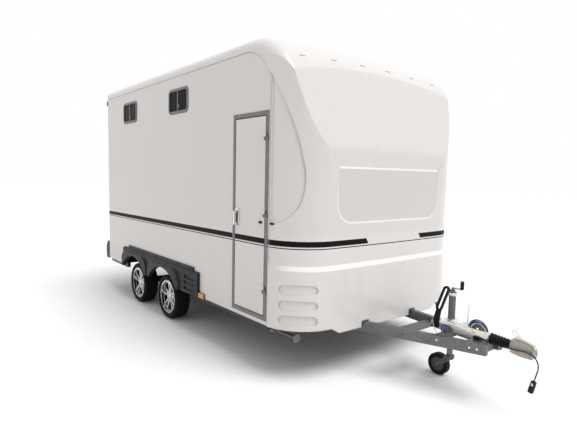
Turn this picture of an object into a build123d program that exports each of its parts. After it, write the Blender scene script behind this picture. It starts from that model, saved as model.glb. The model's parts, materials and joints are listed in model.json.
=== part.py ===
from build123d import *
from math import cos, pi, radians, sin, tan
import os

os.makedirs("parts", exist_ok=True)

# Horse trailer with two axles, a moulded nose and roof, a groom's door and a side ramp.
# Millimetres. +X points to the coupling, +Y to the left side, +Z up, wheels on Z = 0.

# Body
body_length = 4410          # rear wall to the foremost line of the nose
body_width = 2280
wall_bottom = 445           # lower edge of the walls above the ground
seam_height = 2775          # top of the walls, where the roof moulding starts
roof_rise = 145             # seam to the ridge of the roof
panel_thickness = 30
shell_thickness = 25
wall_step = 4               # the moulding stands this far outside the walls
hitch_reach = 1330          # nose to the tip of the coupling
bumper_depth = 120

# Nose and roof moulding
crown_rise = 32             # bulge of front and roof at mid width
nose_corner = 400
nose_arc = 1350
nose_lean = 30              # degrees that the long arc turns before the brow
brow_rise = 295             # end of the long arc to the ridge of the roof
shoulder_radius = 95
roof_rear_radius = 110
roof_joint = 800            # nose plane to the joint between nose and roof mouldings
seam_front = 375            # nose plane to the front edge of the side walls
seam_radius = 380
seam_rim = 22               # raised rim of the moulding along the walls
rear_corner = 29

# Flat pad, raked windscreen recess and side recesses of the nose
pad_low = 1335
pad_half = 700
pad_corner = 170
pad_depth = 13
screen_low = 1800
screen_depth = 19
screen_bend = 1925          # height where the recess starts to lean back
screen_arc = 300
screen_lean = 15            # degrees
screen_flare = 350          # rise in which the recess opens to the full width
side_recess = 10
recess_turn = 26            # degrees of the seam's bend that the side recess follows

# Skirt round the foot of the nose, with its apron and louvres
skirt_top = 985
skirt_proud = 8
skirt_bevel = 45
apron_drop = 50             # the apron hangs this far below the walls
apron_half = 650
apron_slant = 90
louvre_size = (350, 96)
louvre_heights = (784, 652, 527)
louvre_depth = 14
louvre_draft = 15           # degrees

# Openings in the walls, as distances behind the nose plane and heights
door_start, door_end = 395, 940
door_sill = 480
door_drop = 518             # seam to the top of the door frame
door_frame_width = 38
ramp_start = 480
ramp_gap = 455              # rear edge of the ramp frame to the cut over the wheels
ramp_sill = 505
ramp_drop = 185             # seam to the top of the ramp frame
top_door_height = 730
ramp_frame_width = 35
frame_proud = 4
window_front = 2075
window_rear_gap = 907       # rear wall to the centre of the rear window
window_drop = 265           # seam to the middle of the windows
window_size = (470, 268)
window_corner = 55
window_frame_width = 26
window_frame_proud = 8
glass_thickness = 5
leaf_thickness = 32
ramp_thickness = 45
leaf_gap = 8
hinge_offset = 13           # hinge axes stand this far outside the leaves
hinge_pin = 4.5
hinge_knuckle = 9
hinge_length = 60

# Floor and chassis
deck_top = 500
deck_thickness = 30
rail_inset = 515            # side of the body to the middle of a main rail
rail_width = 50
rail_depth = 80
sill_width = 40

# Wheels and axles
rear_overhang = 1080        # rear wall to the rear axle
wheel_spacing = 905
tyre_diameter = 520
tyre_width = 190
rim_diameter = 392
rim_barrel = 366
wheel_outset = 20           # tyre's outer face inside the body's side
box_reach = 385             # half the length of a wheel's space
box_clearance = 40
box_height = 700
box_side_gap = 70
box_skin = 18
stub_radius = 20
running_fit = 0.05
drum_radius = 112

# Fenders
fender_lead = 855           # front axle to the front edge
fender_trail = 410          # rear axle to the rear edge
fender_bottom, fender_top = 440, 700
fender_thickness = 30
fender_chamfer = 20
fender_rail_height = 35
arch_radius = 495           # arches are wider than they are high
arch_drop = 135             # centre of an arch below the centre of the wheel
flare_half, flare_top = 440, 665
flare_corner = 170
flare_proud = 22
flare_draft = 35            # degrees
slot_start, slot_end = 70, 310
slot_heights = (614, 554, 494)
slot_size = 36
slot_depth = 12

# Drawbar and coupling, as distances ahead of the nose plane
drawbar_back = -670
drawbar_tip = 1020
drawbar_spread = 490
drawbar_close = 100
drawbar_depth = 84
drawbar_width = 50
drawbar_low_back = 334
drawbar_low_tip = 395
rail_notch = 90
housing_seat = 476
housing_start, housing_end = 540, 985
shaft_height = 500
gaiter_end = 1160

# Jockey wheel
jockey_x = 560
jockey_y = 140
jockey_tube_radius = 30
jockey_stem_radius = 24
jockey_tube_low, jockey_tube_top = 395, 755
jockey_wheel_radius = 95
jockey_wheel_width = 50
jockey_trail = 100

# Prop stands under the front corners
stand_pivot = 480
stand_inset = 140           # side of the body to a stand
stand_height = 376
stand_length = 330
stand_radius = 14
stand_foot = 38

# Places that follow from the sizes above
half_width = body_width / 2
roof_height = seam_height + roof_rise
nose_x = (bumper_depth + body_length + hitch_reach) / 2 - hitch_reach
rear_x = nose_x - body_length
wall_face = half_width - wall_step
wall_inner = wall_face - panel_thickness
deck_low = deck_top - deck_thickness
wheel_y = half_width - wheel_outset - tyre_width / 2
wheel_z = tyre_diameter / 2
wheel_station = body_length - rear_overhang - wheel_spacing
axle_stations = {"front": wheel_station, "rear": wheel_station + wheel_spacing}
arch_start = wheel_station - box_reach - box_clearance
arch_end = axle_stations["rear"] + box_reach + box_clearance
door_head = seam_height - door_drop
ramp_end = arch_start - ramp_gap
ramp_head = seam_height - ramp_drop
ramp_split = ramp_head - top_door_height
window_height = seam_height - window_drop
window_centres = (window_front, body_length - window_rear_gap)
box_inner = wheel_y - tyre_width / 2 - box_side_gap
rail_y = half_width - rail_inset
stand_y = half_width - stand_inset
fender_start = wheel_station - fender_lead
fender_end = axle_stations["rear"] + fender_trail
apron_low = wall_bottom - apron_drop
sides = {"right": -1, "left": 1}


def behind(distance):
    """X of a place that lies this far behind the nose plane."""
    return nose_x - distance


def slab(x_range, y_range, z_range, mode=Mode.ADD):
    """Put a box between two values on each axis into the open part."""
    size = [high - low for low, high in (x_range, y_range, z_range)]
    middle = [(high + low) / 2 for low, high in (x_range, y_range, z_range)]
    with Locations(tuple(middle)):
        Box(*size, mode=mode)


def ordered(first, second):
    """Two values, the lower one first."""
    return (min(first, second), max(first, second))


def finish(part, name):
    """Name a finished piece and write it."""
    part.label = name
    export_step(part, f"parts/{name}.step")


def crowned_section(plane, side_y, low, top, radius):
    """A section across the body: straight sides under a cambered top with round shoulders."""
    with BuildSketch(plane, mode=Mode.PRIVATE) as section:
        with BuildLine():
            crown = ThreePointArc((side_y, top - crown_rise), (0, top), (-side_y, top - crown_rise))
            Polyline(crown @ 1, (-side_y, low), (side_y, low), crown @ 0)
        make_face()
        fillet(section.vertices().sort_by(Axis.Y)[-2:], radius)
    return section.sketch


def nose_outline(inset, height, back_x):
    """The body's outline from above, from the crowned front with its round corners to back_x."""
    front_x, side_y = nose_x - inset, half_width - inset
    with BuildSketch(Plane.XY.offset(height), mode=Mode.PRIVATE) as outline:
        with BuildLine():
            crown = ThreePointArc((front_x - crown_rise, -side_y), (front_x, 0), (front_x - crown_rise, side_y))
            Polyline(crown @ 1, (back_x, side_y), (back_x, -side_y), crown @ 0)
        make_face()
        fillet(outline.vertices().group_by(Axis.X)[-1], nose_corner - inset)
    return outline.sketch


def edge_waste(inset, low):
    """What the round front corners, the rear corners and the rear of the roof take off the form."""
    front_x, back_x, side_y, top = nose_x - inset, rear_x + inset, half_width - inset, roof_height - inset
    outside = 50
    corner, tail = rear_corner - inset, roof_rear_radius - inset
    arcs = [edge for edge in nose_outline(inset, 0, 0).edges().filter_by(GeomType.CIRCLE)
            if edge.radius < half_width]
    with BuildPart(mode=Mode.PRIVATE) as waste:
        with BuildSketch(Plane.XY.offset(low - 1)):
            for arc in arcs:
                front_end, side_end = sorted([arc @ 0, arc @ 1], key=lambda point: -point.X)
                edge_y = (side_y + outside) * (1 if side_end.Y > 0 else -1)
                with BuildLine():
                    ThreePointArc(front_end, arc @ 0.5, side_end)
                    Polyline(side_end, (side_end.X, edge_y), (front_x + outside, edge_y),
                             (front_x + outside, front_end.Y), front_end)
                make_face()
            for sign in sides.values():
                with BuildLine():
                    round_off = RadiusArc((back_x + corner, sign * side_y), (back_x, sign * (side_y - corner)),
                                          -sign * corner)
                    Polyline(round_off @ 1, (back_x - outside, sign * (side_y - corner)),
                             (back_x - outside, sign * (side_y + outside)),
                             (back_x + corner, sign * (side_y + outside)), round_off @ 0)
                make_face()
        extrude(amount=roof_height - low + outside)
        with BuildSketch(Plane.XZ):
            with BuildLine():
                round_off = JernArc((back_x, top - tail), (0, 1), tail, -90)
                Polyline(round_off @ 1, (back_x + tail, top + outside), (back_x - outside, top + outside),
                         (back_x - outside, top - tail), round_off @ 0)
            make_face()
        extrude(amount=body_width, both=True)
    return waste.part


def body_form(inset, low):
    """The closed form of nose, walls and roof, set in by a thickness.

    The cambered section runs straight along the roof, turns down over the brow on a tight arc and
    the long arc below it, and the front goes on straight down.
    """
    side_y, top = half_width - inset, roof_height - inset
    lean = radians(nose_lean)
    bend_z = roof_height - brow_rise - nose_arc * sin(lean)
    brow_radius = brow_rise / (1 - sin(lean))
    arc_x, brow_x = nose_x - nose_arc, nose_x - nose_arc + (nose_arc - brow_radius) * cos(lean)
    brow_z = roof_height - brow_radius
    turns = [
        # centre x, centre z, radius, degrees from upright at the start, degrees turned
        (brow_x, brow_z, brow_radius, 0, 90 - nose_lean),
        (arc_x, bend_z, nose_arc, 90 - nose_lean, nose_lean),
    ]
    with BuildPart(mode=Mode.PRIVATE) as form:
        straight = Plane.YZ.offset(rear_x + inset)
        extrude(crowned_section(straight, side_y, low, top, shoulder_radius - inset), amount=brow_x - rear_x - inset)
        for centre_x, centre_z, radius, start, turn in turns:
            up = Vector(sin(radians(start)), 0, cos(radians(start)))
            plane = Plane(origin=(centre_x, 0, centre_z), x_dir=(0, 1, 0), z_dir=Vector(0, 1, 0).cross(up))
            section = crowned_section(plane, side_y, 0, radius - inset, shoulder_radius - inset)
            revolve(section, axis=Axis((centre_x, 0, centre_z), (0, 1, 0)), revolution_arc=turn)
        with BuildSketch(Plane.XY.offset(low)):
            with BuildLine():
                crown = ThreePointArc(
                    (nose_x - inset - crown_rise, side_y), (nose_x - inset, 0), (nose_x - inset - crown_rise, -side_y)
                )
                Polyline(crown @ 1, (brow_x - 1, -side_y), (brow_x - 1, side_y), crown @ 0)
            make_face()
        extrude(amount=bend_z - low)
        slab((arc_x, brow_x), (-side_y, side_y), (bend_z, brow_z))
    return form.part - edge_waste(inset, low)


def screen_waste(inset):
    """What the flat recess of the windscreen takes off the front, narrow at its foot."""
    foot_z, foot_x, ahead_x = screen_low - inset, nose_x - screen_depth - inset, nose_x + screen_arc
    with BuildPart(mode=Mode.PRIVATE) as waste:
        with BuildSketch(Plane.XZ):
            with BuildLine():
                foot = Line((foot_x, foot_z), (foot_x, screen_bend))
                turn = JernArc(foot @ 1, (0, 1), screen_arc, screen_lean)
                rake = Line(turn @ 1, turn @ 1 + (roof_height - screen_bend) * (turn % 1))
                Polyline(rake @ 1, (ahead_x, (rake @ 1).Y), (ahead_x, foot_z), foot @ 0)
            make_face()
        extrude(amount=body_width, both=True)
        with BuildSketch(Plane.YZ.offset(rear_x)):
            with BuildLine():
                Polyline((-pad_half, foot_z), (pad_half, foot_z), (half_width + 1, foot_z + screen_flare),
                         (half_width + 1, 2 * roof_height), (-half_width - 1, 2 * roof_height),
                         (-half_width - 1, foot_z + screen_flare), close=True)
            make_face()
        extrude(amount=2 * body_length, mode=Mode.INTERSECT)
    return waste.part


# Nose and roof mouldings, cut from one shell along the joint across the roof
outer_form = body_form(0, apron_low)
inner_form = body_form(shell_thickness, apron_low - shell_thickness)
rim_front = behind(seam_front - seam_rim)
seam_bend = seam_height - seam_radius
rail_slope = (drawbar_close - drawbar_spread) / (drawbar_tip - drawbar_back)
rail_rise = (drawbar_low_tip - drawbar_low_back) / (drawbar_tip - drawbar_back)


def rail_centre(ahead):
    """Distance of a drawbar rail from the middle, this far ahead of the nose plane."""
    return drawbar_spread + rail_slope * (ahead - drawbar_back)


def rail_top(ahead):
    """Height of the top of the drawbar's rails, this far ahead of the nose plane."""
    return drawbar_low_back + drawbar_depth + rail_rise * (ahead - drawbar_back)


# Outline of a side recess, from its peak down to its foot: behind the nose plane, below the seam
recess_points = [(270, 406), (117, 910), (100, 1105), (125, 1281), (185, 1377), (306, 1445)]
with BuildPart() as side_recesses:
    with BuildSketch(Plane.XZ):
        with BuildLine():
            upper, waist, belly, chin, toe, foot_end = [
                (behind(station), seam_height - drop) for station, drop in recess_points
            ]
            back = Polyline(foot_end, (rim_front, foot_end[1]), (rim_front, seam_bend))
            bend = JernArc(back @ 1, (0, 1), seam_radius + seam_rim, recess_turn)
            ThreePointArc(bend @ 1, upper, waist)
            ThreePointArc(waist, belly, chin)
            ThreePointArc(chin, toe, foot_end)
        make_face()
    extrude(amount=body_width, both=True)
    add(body_form(side_recess, apron_low), mode=Mode.SUBTRACT)

with BuildPart() as louvres:
    for sign in sides.values():
        outward = Vector(1, sign, 0).normalized()
        reach = nose_corner + skirt_proud + 5
        for height in louvre_heights:
            middle = Vector(nose_x - nose_corner, sign * (half_width - nose_corner), height) + reach * outward
            with BuildSketch(Plane(middle, x_dir=(-sign, 1, 0), z_dir=-outward)):
                SlotOverall(*louvre_size)
            extrude(amount=nose_corner / 5, taper=louvre_draft)
    floor_inset = louvre_depth - skirt_proud
    extrude(nose_outline(floor_inset, wall_bottom, rear_x), amount=skirt_top - wall_bottom, mode=Mode.SUBTRACT)

with BuildPart() as nose_moulding:
    add(outer_form)
    shoulder = skirt_top - skirt_bevel
    seam_x = behind(seam_front)
    skirt_back = behind(2 * nose_corner)
    extrude(nose_outline(-skirt_proud, apron_low, skirt_back), amount=shoulder - apron_low)
    loft([nose_outline(-skirt_proud, shoulder, skirt_back), nose_outline(1, skirt_top, skirt_back)])
    with BuildSketch(Plane.YZ.offset(nose_x - pad_depth)) as pad:
        with Locations((0, (pad_low + screen_low) / 2)):
            Rectangle(2 * pad_half, screen_low - pad_low)
        fillet(pad.vertices().sort_by(Axis.Y)[:2], pad_corner)
    extrude(amount=2 * pad_depth, mode=Mode.SUBTRACT)
    add(screen_waste(0), mode=Mode.SUBTRACT)
    add(side_recesses.part, mode=Mode.SUBTRACT)
    for louvre in louvres.solids():
        add(louvre, mode=Mode.SUBTRACT)
    add(inner_form - screen_waste(shell_thickness), mode=Mode.SUBTRACT)
    for sign in sides.values():
        with BuildSketch(Plane.YZ.offset(rear_x)):
            with BuildLine():
                Polyline((sign * apron_half, apron_low - 1), (sign * (apron_half + apron_slant), wall_bottom),
                         (sign * body_width, wall_bottom), (sign * body_width, apron_low - 1), close=True)
            make_face()
        extrude(amount=body_length * 2, mode=Mode.SUBTRACT)
        slab((behind(nose_corner), nose_x + nose_corner),
             ordered(sign * rail_centre(0) - rail_notch / 2, sign * rail_centre(0) + rail_notch / 2),
             (apron_low - 1, rail_top(0) + 10), mode=Mode.SUBTRACT)
    with BuildSketch(Plane.XZ):
        with BuildLine():
            edge = Line((seam_x, apron_low - 1), (seam_x, seam_bend))
            bend = JernArc(edge @ 1, (0, 1), seam_radius, 90)
            Polyline(
                bend @ 1,
                (behind(roof_joint), seam_height),
                (behind(roof_joint), roof_height + 1),
                (nose_x + nose_corner, roof_height + 1),
                (nose_x + nose_corner, apron_low - 1),
                edge @ 0,
            )
        make_face()
    extrude(amount=body_width, both=True, mode=Mode.INTERSECT)
finish(nose_moulding.part, "nose_moulding")

with BuildPart() as roof_moulding:
    add(outer_form)
    add(inner_form, mode=Mode.SUBTRACT)
    slab((rear_x - 1, behind(roof_joint)), (-half_width, half_width), (seam_height, roof_height + 1),
         mode=Mode.INTERSECT)
finish(roof_moulding.part, "roof_moulding")

with BuildPart() as roof_vent:
    vent_station, vent_length, vent_width, vent_rise = 2250, 560, 520, 35
    with BuildSketch(Plane.XY.offset(roof_height)):
        with Locations((behind(vent_station), 0)):
            RectangleRounded(vent_length, vent_width, 60)
    extrude(amount=vent_rise, taper=20)
finish(roof_vent.part, "roof_vent")

# Side walls with their windows, the door or ramp opening and the cut over the wheels
arch_head = fender_top - slot_size
openings = {
    "right": (door_start, door_end, door_sill, door_head),
    "left": (ramp_start, ramp_end, ramp_sill, ramp_head),
}
for side, sign in sides.items():
    start, end, sill, head = openings[side]
    with BuildPart() as side_wall:
        with BuildSketch(Plane.XZ.offset(-sign * wall_inner)) as panel:
            with BuildLine():
                edge = Line((seam_x, wall_bottom), (seam_x, seam_bend))
                bend = JernArc(edge @ 1, (0, 1), seam_radius, 90)
                Polyline(
                    bend @ 1,
                    (rear_x + panel_thickness, seam_height),
                    (rear_x + panel_thickness, wall_bottom),
                    (behind(arch_end), wall_bottom),
                    (behind(arch_end), arch_head),
                    (behind(arch_start), arch_head),
                    (behind(arch_start), wall_bottom),
                    edge @ 0,
                )
            make_face()
            with Locations((behind((start + end) / 2), (sill + head) / 2)):
                Rectangle(end - start, head - sill, mode=Mode.SUBTRACT)
            with Locations(*[(behind(station), window_height) for station in window_centres]):
                RectangleRounded(*window_size, window_corner, mode=Mode.SUBTRACT)
        extrude(amount=-sign * panel_thickness)
    finish(side_wall.part, f"side_wall_{side}")

with BuildPart() as rear_wall:
    slab((rear_x, rear_x + panel_thickness), (-wall_face, wall_face), (wall_bottom, seam_height))
    fillet(rear_wall.edges().filter_by(Axis.Z).group_by(Axis.X)[0], rear_corner - wall_step)
finish(rear_wall.part, "rear_wall")

# Window frames and panes
with BuildPart() as window_frames:
    for sign in sides.values():
        with BuildSketch(Plane.XZ.offset(-sign * wall_inner)):
            with Locations(*[(behind(station), window_height) for station in window_centres]):
                RectangleRounded(*window_size, window_corner)
                RectangleRounded(*[size - 2 * window_frame_width for size in window_size],
                                 window_corner - window_frame_width, mode=Mode.SUBTRACT)
        extrude(amount=-sign * (panel_thickness + window_frame_proud))
finish(window_frames.part, "window_frames")

with BuildPart() as window_glass:
    for sign in sides.values():
        with BuildSketch(Plane.XZ.offset(-sign * (wall_face - glass_thickness))):
            with Locations(*[(behind(station), window_height) for station in window_centres]):
                RectangleRounded(*[size - 2 * window_frame_width for size in window_size],
                                 window_corner - window_frame_width)
        extrude(amount=-sign * glass_thickness)
finish(window_glass.part, "window_glass")

# Door and ramp frames carry the fixed halves of the hinges
frame_face = half_width
hinge_y = frame_face + hinge_offset
knuckle_heights = {
    "groom": (door_sill + 240, (door_sill + door_head) / 2, door_head - 247),
    "top": (ramp_split + 100, ramp_head - 160),
}


def frame_ring(sign, start, end, sill, head, width):
    """A frame round an opening, as deep as the wall and a little proud of it."""
    with BuildPart() as ring:
        with BuildSketch(Plane.XZ.offset(-sign * wall_inner)):
            with Locations((behind((start + end) / 2), (sill + head) / 2)):
                Rectangle(end - start, head - sill)
                Rectangle(end - start - 2 * width, head - sill - 2 * width, mode=Mode.SUBTRACT)
        extrude(amount=-sign * (panel_thickness + frame_proud))
    return ring.part


def hinge_half(station, sign, low, leaf_station, leaf_depth):
    """One knuckle on a vertical pin, with the leaf that ties it to the frame or door."""
    with BuildPart() as half:
        with Locations((behind(station), sign * hinge_y, low + hinge_length / 4)):
            Cylinder(hinge_knuckle, hinge_length / 2)
        slab(ordered(behind(station), behind(leaf_station)),
             ordered(sign * (hinge_y - leaf_depth), sign * hinge_y), (low, low + hinge_length / 2))
    return half.part


leaf_reach = 34
door_hinge = door_start + door_frame_width
with BuildPart() as door_frame:
    add(frame_ring(-1, door_start, door_end, door_sill, door_head, door_frame_width))
    for height in knuckle_heights["groom"]:
        add(hinge_half(door_hinge, -1, height, door_hinge - leaf_reach, hinge_offset))
    with Locations(*[(behind(door_hinge), -hinge_y, height + hinge_length / 2)
                     for height in knuckle_heights["groom"]]):
        Cylinder(hinge_pin, hinge_length)
finish(door_frame.part, "door_frame")

ramp_hinges = (ramp_start + ramp_frame_width, ramp_end - ramp_frame_width)
ramp_axis_z = ramp_sill + ramp_frame_width - 4
ramp_middle = (ramp_start + ramp_end) / 2
ramp_knuckles = (ramp_start + 160, ramp_middle, ramp_end - 160)
with BuildPart() as ramp_frame:
    add(frame_ring(1, ramp_start, ramp_end, ramp_sill, ramp_head, ramp_frame_width))
    for station, direction in zip(ramp_hinges, (-1, 1)):
        for height in knuckle_heights["top"]:
            add(hinge_half(station, 1, height, station + direction * leaf_reach * 0.9, hinge_offset))
        with Locations(*[(behind(station), hinge_y, height + hinge_length / 2)
                         for height in knuckle_heights["top"]]):
            Cylinder(hinge_pin, hinge_length)
    for station in ramp_knuckles:
        with Locations(Location((behind(station), hinge_y, ramp_axis_z), (0, 90, 0))):
            Cylinder(hinge_pin, 3 * hinge_length)
        for shift in (-1, 1):
            with Locations(Location((behind(station + shift * hinge_length), hinge_y, ramp_axis_z), (0, 90, 0))):
                Cylinder(hinge_knuckle, hinge_length - 1)
            slab((behind(station + shift * hinge_length) - hinge_length / 2 + 0.5,
                  behind(station + shift * hinge_length) + hinge_length / 2 - 0.5),
                 (frame_face, hinge_y), (ramp_axis_z - 28, ramp_axis_z))
finish(ramp_frame.part, "ramp_frame")


def leaf(sign, start, end, low, high, thickness):
    """A flat leaf whose outer face is flush with its frame."""
    with BuildPart() as panel:
        slab((behind(end), behind(start)), ordered(sign * frame_face, sign * (frame_face - thickness)),
             (low, high))
    return panel.part


def door_knuckle(station, sign, height, direction):
    """The upper knuckle of a hinge, bored for the pin, on a leaf of the moving door."""
    with BuildPart() as knuckle:
        low = height + hinge_length / 2 + 0.5
        with Locations((behind(station), sign * hinge_y, low + hinge_length / 4)):
            Cylinder(hinge_knuckle, hinge_length / 2)
        slab(ordered(behind(station), behind(station + direction * leaf_reach * 1.6)),
             ordered(sign * frame_face, sign * hinge_y), (low, low + hinge_length / 2))
        with Locations((behind(station), sign * hinge_y, low + hinge_length / 4)):
            Cylinder(hinge_pin + running_fit, hinge_length, mode=Mode.SUBTRACT)
    return knuckle.part


# Groom's door, hinged at its front edge
door_bounds = (door_start + door_frame_width + leaf_gap, door_end - door_frame_width - leaf_gap)
door_heights = (door_sill + door_frame_width + leaf_gap, door_head - door_frame_width - leaf_gap)
with BuildPart() as groom_door:
    add(leaf(-1, *door_bounds, *door_heights, leaf_thickness))
    for height in knuckle_heights["groom"]:
        add(door_knuckle(door_hinge, -1, height, 1))
finish(groom_door.part, "groom_door")

handle_station = door_bounds[1] - 38
handle_height = 1340
with BuildPart() as door_handle:
    with BuildSketch(Plane.XZ.offset(frame_face)):
        with Locations(Location((behind(handle_station), handle_height), 90)):
            SlotOverall(180, 56)
    extrude(amount=8)
    with Locations(Location((behind(handle_station), -frame_face - 20, handle_height + 40), (90, 0, 0))):
        Cylinder(11, 30)
    slab((behind(handle_station) - 10, behind(handle_station) + 10), (-frame_face - 44, -frame_face - 30),
         (handle_height - 70, handle_height + 56))
finish(door_handle.part, "door_handle")

# Side ramp and the two doors above it
ramp_bounds = (ramp_hinges[0] + leaf_gap, ramp_hinges[1] - leaf_gap)
with BuildPart() as side_ramp:
    add(leaf(1, *ramp_bounds, ramp_sill + ramp_frame_width + leaf_gap, ramp_split, ramp_thickness))
    for station in ramp_knuckles:
        with Locations(Location((behind(station), hinge_y, ramp_axis_z), (0, 90, 0))):
            Cylinder(hinge_knuckle, hinge_length - 1)
        slab((behind(station) - hinge_length / 2 + 0.5, behind(station) + hinge_length / 2 - 0.5),
             (frame_face, hinge_y), (ramp_axis_z, ramp_axis_z + 60))
        with Locations(Location((behind(station), hinge_y, ramp_axis_z), (0, 90, 0))):
            Cylinder(hinge_pin + running_fit, hinge_length, mode=Mode.SUBTRACT)
finish(side_ramp.part, "side_ramp")

top_bounds = {
    "front": (ramp_bounds[0], ramp_middle - leaf_gap / 2, ramp_hinges[0], 1),
    "rear": (ramp_middle + leaf_gap / 2, ramp_bounds[1], ramp_hinges[1], -1),
}
for name, (start, end, station, direction) in top_bounds.items():
    with BuildPart() as top_door:
        add(leaf(1, start, end, ramp_split + leaf_gap, ramp_head - ramp_frame_width - leaf_gap, leaf_thickness))
        for height in knuckle_heights["top"]:
            add(door_knuckle(station, 1, height, direction))
    finish(top_door.part, f"top_door_{name}")

# Floor deck, cut round the wheel boxes
with BuildPart() as floor_deck:
    extrude(nose_outline(half_width - wall_inner, deck_low, rear_x + panel_thickness), amount=deck_thickness)
    for sign in sides.values():
        slab((behind(arch_end), behind(arch_start)), ordered(sign * box_inner, sign * half_width),
             (deck_low - 1, deck_top + 1), mode=Mode.SUBTRACT)
finish(floor_deck.part, "floor_deck")

with BuildPart() as wheel_boxes:
    for sign in sides.values():
        slab((behind(arch_end), behind(arch_start)), ordered(sign * box_inner, sign * wall_inner),
             (deck_low, box_height))
        slab((behind(arch_end - box_skin), behind(arch_start + box_skin)),
             ordered(sign * (box_inner + box_skin), sign * (wall_inner + 1)),
             (deck_low - 1, box_height - box_skin), mode=Mode.SUBTRACT)
finish(wheel_boxes.part, "wheel_boxes")

# Chassis under the deck: main rails, side sills, cross beams and the stands' lugs
rail_low = deck_low - rail_depth
cross_depth = 36
cross_low = deck_low - cross_depth
front_cross = -drawbar_back - 30
cross_stations = (front_cross, ramp_middle + 167, fender_start + 150, fender_end + 150, body_length - 80)
sill_start = seam_front + 25
lug_inner, lug_outer, lug_reach = 18, 26, 30
stand_pin = 8
with BuildPart() as chassis:
    for sign in sides.values():
        slab((rear_x + panel_thickness, behind(front_cross)),
             ordered(sign * (rail_y - rail_width / 2), sign * (rail_y + rail_width / 2)), (rail_low, deck_low))
        for start, end in ((sill_start, fender_start + 20), (fender_end - 20, body_length - panel_thickness)):
            slab((behind(end), behind(start)), ordered(sign * (wall_inner - sill_width), sign * wall_inner),
                 (rail_low + 10, deck_low))
        slab((behind(stand_pivot + 70), behind(sill_start)), ordered(sign * (stand_y - 60), sign * (wall_inner - 10)),
             (deck_low - deck_thickness, deck_low))
        for shift in (-1, 1):
            slab((behind(stand_pivot + lug_reach), behind(stand_pivot - lug_reach)),
                 ordered(sign * stand_y + shift * lug_inner, sign * stand_y + shift * lug_outer),
                 (stand_height - 24, deck_low - 20))
        with Locations(Location((behind(stand_pivot), sign * stand_y, stand_height), (90, 0, 0))):
            Cylinder(stand_pin + running_fit, 80, mode=Mode.SUBTRACT)
    for station in cross_stations:
        slab((behind(station + 30), behind(station - 30)), (-wall_inner + 5, wall_inner - 5),
             (cross_low, deck_low))
finish(chassis.part, "chassis")

# Prop stands, folded forward under the front corners
for side, sign in sides.items():
    with BuildPart() as prop_stand:
        with Locations(Location((behind(stand_pivot - stand_length / 2), sign * stand_y, stand_height), (0, 90, 0))):
            Cylinder(stand_radius, stand_length)
        with Locations(Location((behind(stand_pivot - stand_length), sign * stand_y, stand_height), (0, 90, 0))):
            Cylinder(stand_foot, 8)
        with Locations(Location((behind(stand_pivot), sign * stand_y, stand_height), (90, 0, 0))):
            Cylinder(stand_pin, 2 * lug_outer)
            Cylinder(20, 2 * lug_inner - 6)
    finish(prop_stand.part, f"prop_stand_{side}")

# Axles: a square beam ahead of each wheel, trailing arms, brackets, brake drums and stubs
arm_length = 150
beam_size = 60
beam_z = wheel_z + 55
arm_y = wheel_y - 145
for axle_name, station in axle_stations.items():
    with BuildPart() as axle:
        slab((behind(station - arm_length) - beam_size / 2, behind(station - arm_length) + beam_size / 2),
             (-arm_y, arm_y), (beam_z - beam_size / 2, beam_z + beam_size / 2))
        for sign in sides.values():
            slab((behind(station - arm_length) - 60, behind(station - arm_length) + 60),
                 ordered(sign * (rail_y - 30), sign * (rail_y + 30)), (beam_z + beam_size / 2, rail_low))
            with BuildSketch(Plane.XZ.offset(-sign * (arm_y - 30))):
                with Locations((behind(station - arm_length), beam_z)):
                    Circle(38)
                with Locations((behind(station), wheel_z)):
                    Circle(34)
                make_hull()
            extrude(amount=-sign * 35)
            with Locations(Location((behind(station), sign * (arm_y + 5 + 45), wheel_z), (90, 0, 0))):
                Cylinder(drum_radius, 90)
            with Locations(Location((behind(station), sign * (wheel_y - 30), wheel_z), (90, 0, 0))):
                Cylinder(stub_radius, 120)
    finish(axle.part, f"axle_{axle_name}")

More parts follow.
